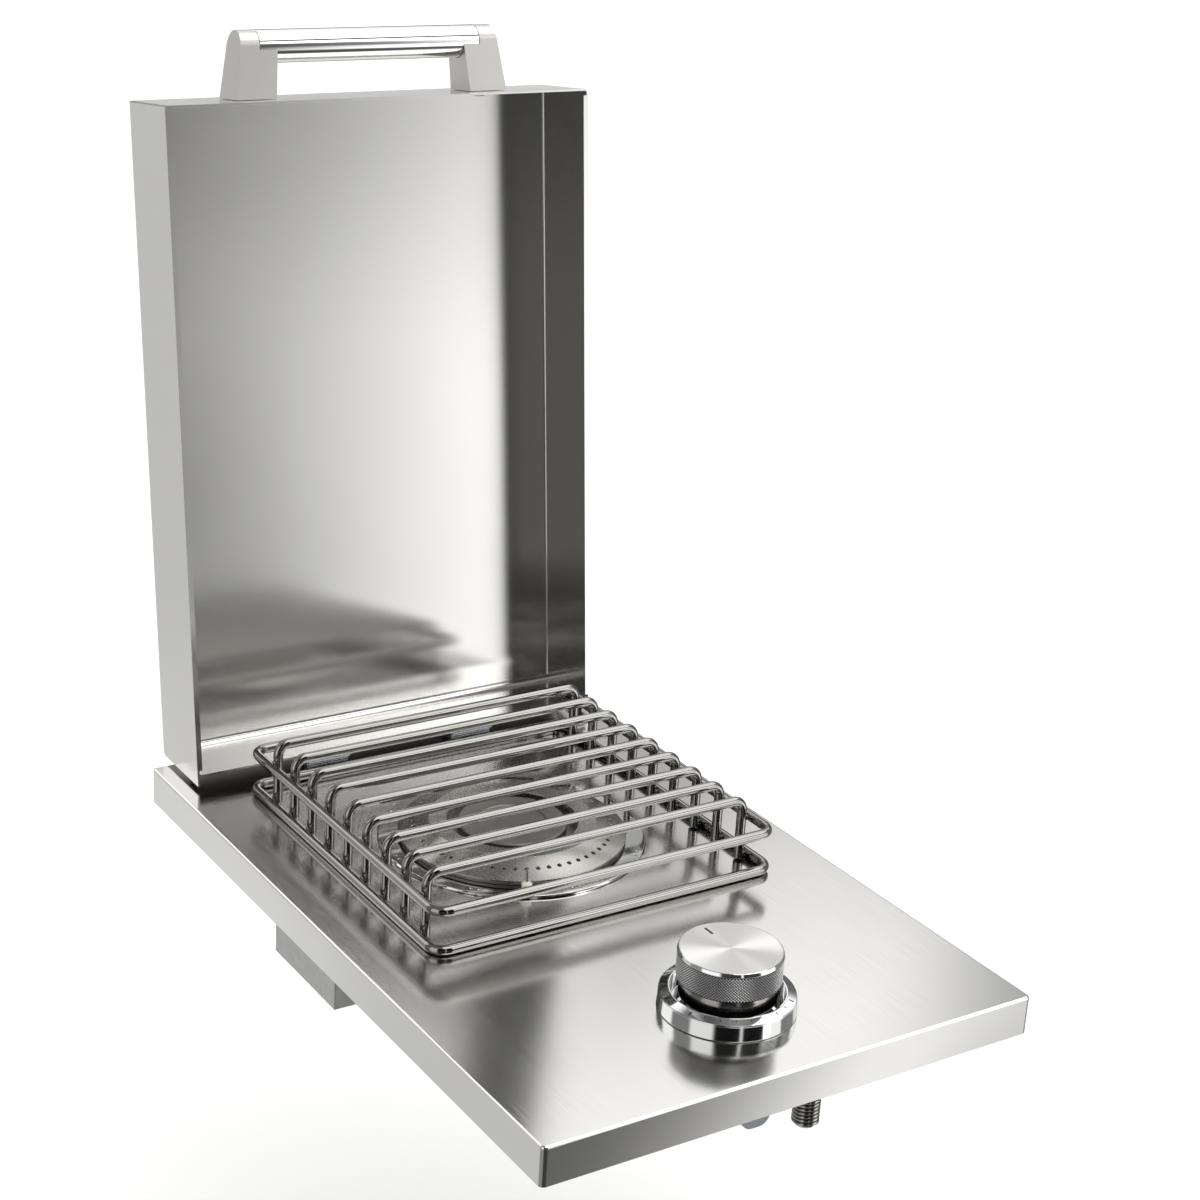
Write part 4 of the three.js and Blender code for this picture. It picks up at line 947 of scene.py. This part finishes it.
# Handle, drawn upright and then laid on the lid's end wall
handle = {
    "length": 189.2, "post": 26.8, "base": 26, "reach": 41.5, "outerTaper": 6.5, "innerTaper": 3.9,
    "end": 18.1, "tube": 10.2, "wall": 1.6, "slack": 0.3, "edge": 0.45, "arcSteps": 32,
}
handleScrew = {"head": 4.4, "headHeight": 2.2, "shank": 2.4, "seat": -1.5, "tip": 11}
lid = {"axisY": 441.2, "axisZ": 28.1, "wallY": -423.0, "middle": 23.9}
axisPlace = Matrix.Translation((0, lid["axisY"], lid["axisZ"]))
lidPlace = axisPlace @ Matrix.Rotation(-(math.pi / 2 + lidLean), 4, "X")
wallPlace = lidPlace @ Matrix.Translation((0, lid["wallY"], lid["middle"]))
handlePlace = wallPlace @ Matrix.Rotation(math.pi / 2, 4, "X")


def postShape(sign):  # an arch run along X, its two ends sliced to the taper
    axis, radius, steps = handle["reach"] - handle["tube"], handle["tube"], handle["arcSteps"]
    arch = [(-handle["base"] / 2, 0.3), (handle["base"] / 2, 0.3)]
    for i in range(steps + 1):
        angle = math.pi * i / steps
        arch.append((radius * math.cos(angle), axis + radius * math.sin(angle)))
    shape = bmesh.new()
    reach = [handle["length"] / 3 * sign, handle["length"] * sign]
    ends = [[shape.verts.new((x, y, z)) for y, z in arch] for x in reach]
    for a, b in zip(range(len(arch)), [*range(1, len(arch)), 0]):
        shape.faces.new([ends[0][a], ends[0][b], ends[1][b], ends[1][a]])
    shape.faces.new(ends[0])
    shape.faces.new(ends[1][::-1])
    bmesh.ops.recalc_face_normals(shape, faces=shape.faces)
    half = handle["length"] / 2
    slices = [(half, -handle["outerTaper"], 1), (half - handle["post"], -handle["innerTaper"], -1)]
    for x, taper, outward in slices:
        lean = Vector((taper * sign, 0, handle["reach"] + 1)).normalized()
        normal = Vector((lean.z, 0, -lean.x)) * sign * outward
        everything = shape.verts[:] + shape.edges[:] + shape.faces[:]
        sliced = bmesh.ops.bisect_plane(shape, geom=everything, plane_co=(x * sign, 0, 0), plane_no=normal,
                                        clear_outer=True)["geom_cut"]
        bmesh.ops.edgeloop_fill(shape, edges=[e for e in sliced if isinstance(e, bmesh.types.BMEdge)])
    bmesh.ops.recalc_face_normals(shape, faces=shape.faces)
    return shape


def cutAway(shape, tool):  # shape less tool, both in the same place
    pieces = []
    for part in (shape, tool):
        mesh = bpy.data.meshes.new("blank")
        part.to_mesh(mesh)
        part.free()
        pieces.append(bpy.data.objects.new("blank", mesh))
        bpy.context.scene.collection.objects.link(pieces[-1])
    cutter = pieces[0].modifiers.new("cut", "BOOLEAN")
    cutter.operation, cutter.solver, cutter.object = "DIFFERENCE", "EXACT", pieces[1]
    applied(pieces[0])
    result = bmesh.new()
    result.from_mesh(pieces[0].data)
    for piece in pieces:
        bpy.data.objects.remove(piece)
    return result


def makeHandle():
    half, tube, slack = handle["length"] / 2, handle["tube"], handle["slack"]
    tubeHalf, axis = half - handle["end"], handle["reach"] - tube
    wide, long = tube + slack, tubeHalf + slack
    head, shank, seat = handleScrew["head"], handleScrew["shank"], handleScrew["seat"]
    low, tip = seat - handleScrew["headHeight"], handleScrew["tip"]
    for side, sign in [("left", -1), ("right", 1)]:
        pocket = turned([(0, -long), (wide, -long), (wide, long), (0, long)], 96)
        pocket.transform(Matrix.Translation((0, 0, axis)) @ sideways)
        bmesh.ops.recalc_face_normals(pocket, faces=pocket.faces)
        makePiece(f"handlePost_{side}", cutAway(postShape(sign), pocket), satinCast, "satin_cast",
                  [f"handle_post_{side}"], "lid", place=handlePlace, edge=handle["edge"])
        outline = filleted([
            (0, low), (head, low, 1.6), (head, seat, 0.2), (shank, seat), (shank, tip, 0.6), (0, tip),
        ])
        place = handlePlace @ Matrix.Translation((sign * (half - handle["post"] / 2), 0, 0))
        makePiece(f"handleScrew_{side}", turned(outline, 40), zincPlate, "zinc_plated",
                  [f"handle_screw_{side}"], "lid", place=place)
    bore = tube - handle["wall"]
    outline = filleted([(bore, -tubeHalf), (tube, -tubeHalf, 0.3), (tube, tubeHalf, 0.3), (bore, tubeHalf)])
    makePiece("handleBar", turned(outline, 128), mirror, "polished_steel", ["handle_bar"], "lid",
              place=handlePlace @ Matrix.Translation((0, 0, axis)) @ sideways)


makeHandle()
print("handle done")


# Camera, floor and light
camera = {
    "place": (-0.70321, -0.83714, 0.68660), "lens": 71.37, "sensor": 36,
    "right": (0.8410225, -0.5380333, 0.0565802), "down": (-0.1461740, -0.3266861, -0.9337609),
    "ahead": (0.5208784, 0.7770434, -0.3533968),
}
stage = {
    "floor": -0.30, "floorSize": 12, "floorColour": "#f7f7f6", "background": 1.0, "daylight": 1.25,
    "room": 0.3,
}
# What the metal mirrors. Each card has its middle in degrees round from the front, half its width, its middle
# in degrees up from level, half its height, how far its edge fades, and its brightness.
cards = [
    (0, 180, -72, 20, 6, 0.45),
    (60, 78, 64, 20, 8, 2.3),
    (140, 34, 38, 9, 8, 1.3),
    (-152, 24, -18, 30, 10, 0.68),
    (-158, 22, 34, 12, 6, 1.5),
    (-155.6, 0.8, -27, 3, 3.5, 0.95),
    (-75, 16, 14, 26, 7, 1.2),
    (-13, 36, 0, 48, 6, 0.05),
    (-31, 6, -9, 5, 6, 0.16),
    (-13, 36, 32, 14, 6, 0.005),
    (-10.5, 1.6, 22, 22, 1.5, 1.0),
    (46, 15.5, 8, 28, 2.5, 1.5),
    (46.5, 15.5, -11, 6, 7.5, 2.1),
    (33, 5, 27, 5, 2.5, 3.5),
    (34, 40, 38.3, 2.8, 1.5, 0.02),
    (26, 9, -36, 8, 5, 0.11),
    (48, 6, -33, 8, 7, 0.72),
    (42.2, 0.5, -33, 8, 2.4, 1.65),
    (150, 40, 12, 6, 4, 0.15),
    (153, 12, -4, 3, 3, 1.35),
    (150, 18, 66, 10, 5, 0.2),
    (131.4, 2.5, 28, 10, 3.8, 0.4),
    (144.6, 0.4, 27, 2.4, 2.4, 0.45),
]


def makeCamera():
    data = bpy.data.cameras.new("camera")
    data.lens = camera["lens"]
    data.sensor_width = camera["sensor"]
    viewer = bpy.data.objects.new("camera", data)
    right, down, ahead = (Vector(camera[key]) for key in ("right", "down", "ahead"))
    turn = Matrix((right, -down, -ahead)).transposed()
    viewer.matrix_world = Matrix.Translation(camera["place"]) @ turn.to_4x4()
    bpy.context.scene.collection.objects.link(viewer)
    bpy.context.scene.camera = viewer


def makeFloor():
    shape = bmesh.new()
    bmesh.ops.create_grid(shape, x_segments=1, y_segments=1, size=stage["floorSize"])
    mesh = bpy.data.meshes.new("floor")
    shape.to_mesh(mesh)
    shape.free()
    mesh.transform(Matrix.Translation((0, 0, stage["floor"])))
    floor = bpy.data.objects.new("floor", mesh)
    mesh.materials.append(newMaterial("paleFloor", stage["floorColour"], 0.0, 0.9)[0])
    bpy.context.scene.collection.objects.link(floor)
    floor.visible_glossy = False  # the metal mirrors the studio's cards instead


def makeStudio():
    world = bpy.data.worlds.new("studio")
    bpy.context.scene.world = world
    world.use_nodes = True
    tree = world.node_tree
    tree.nodes.clear()
    ray = addNode(tree, "ShaderNodeTexCoord").outputs["Generated"]
    parts = addNode(tree, "ShaderNodeSeparateXYZ", {"Vector": ray}).outputs
    azimuth = maths(tree, "ARCTAN2", parts[0], maths(tree, "MULTIPLY", parts[1], -1.0))
    height = maths(tree, "ARCSINE", parts[2])
    mirrored = stage["room"]
    for middle, wide, level, tall, fade, brightness in cards:
        masks = []
        for angle, centre, reach in [(azimuth, middle, wide), (height, level, tall)]:
            off = maths(tree, "SUBTRACT", angle, math.radians(centre))
            away = maths(tree, "ABSOLUTE", maths(tree, "WRAP", off, math.pi, -math.pi))
            masks.append(mapped(tree, away, 1.0, 0.0, math.radians(reach), math.radians(reach + fade),
                                interpolation_type="SMOOTHSTEP"))
        mask = maths(tree, "MULTIPLY", *masks)
        mirrored = nodeOut(tree, "ShaderNodeMix", {0: mask, 2: mirrored, 3: brightness})
    path = addNode(tree, "ShaderNodeLightPath").outputs
    lit = nodeOut(tree, "ShaderNodeMix", {0: path["Is Diffuse Ray"], 2: mirrored, 3: stage["daylight"]})
    shown = nodeOut(tree, "ShaderNodeMix", {0: path["Is Camera Ray"], 2: lit, 3: stage["background"]})
    sky = nodeOut(tree, "ShaderNodeBackground", {"Color": (1, 1, 1, 1), "Strength": shown})
    addNode(tree, "ShaderNodeOutputWorld", {"Surface": sky})
    bpy.context.scene.view_settings.view_transform = "Standard"


makeCamera()
makeFloor()
makeStudio()
print("stage done")
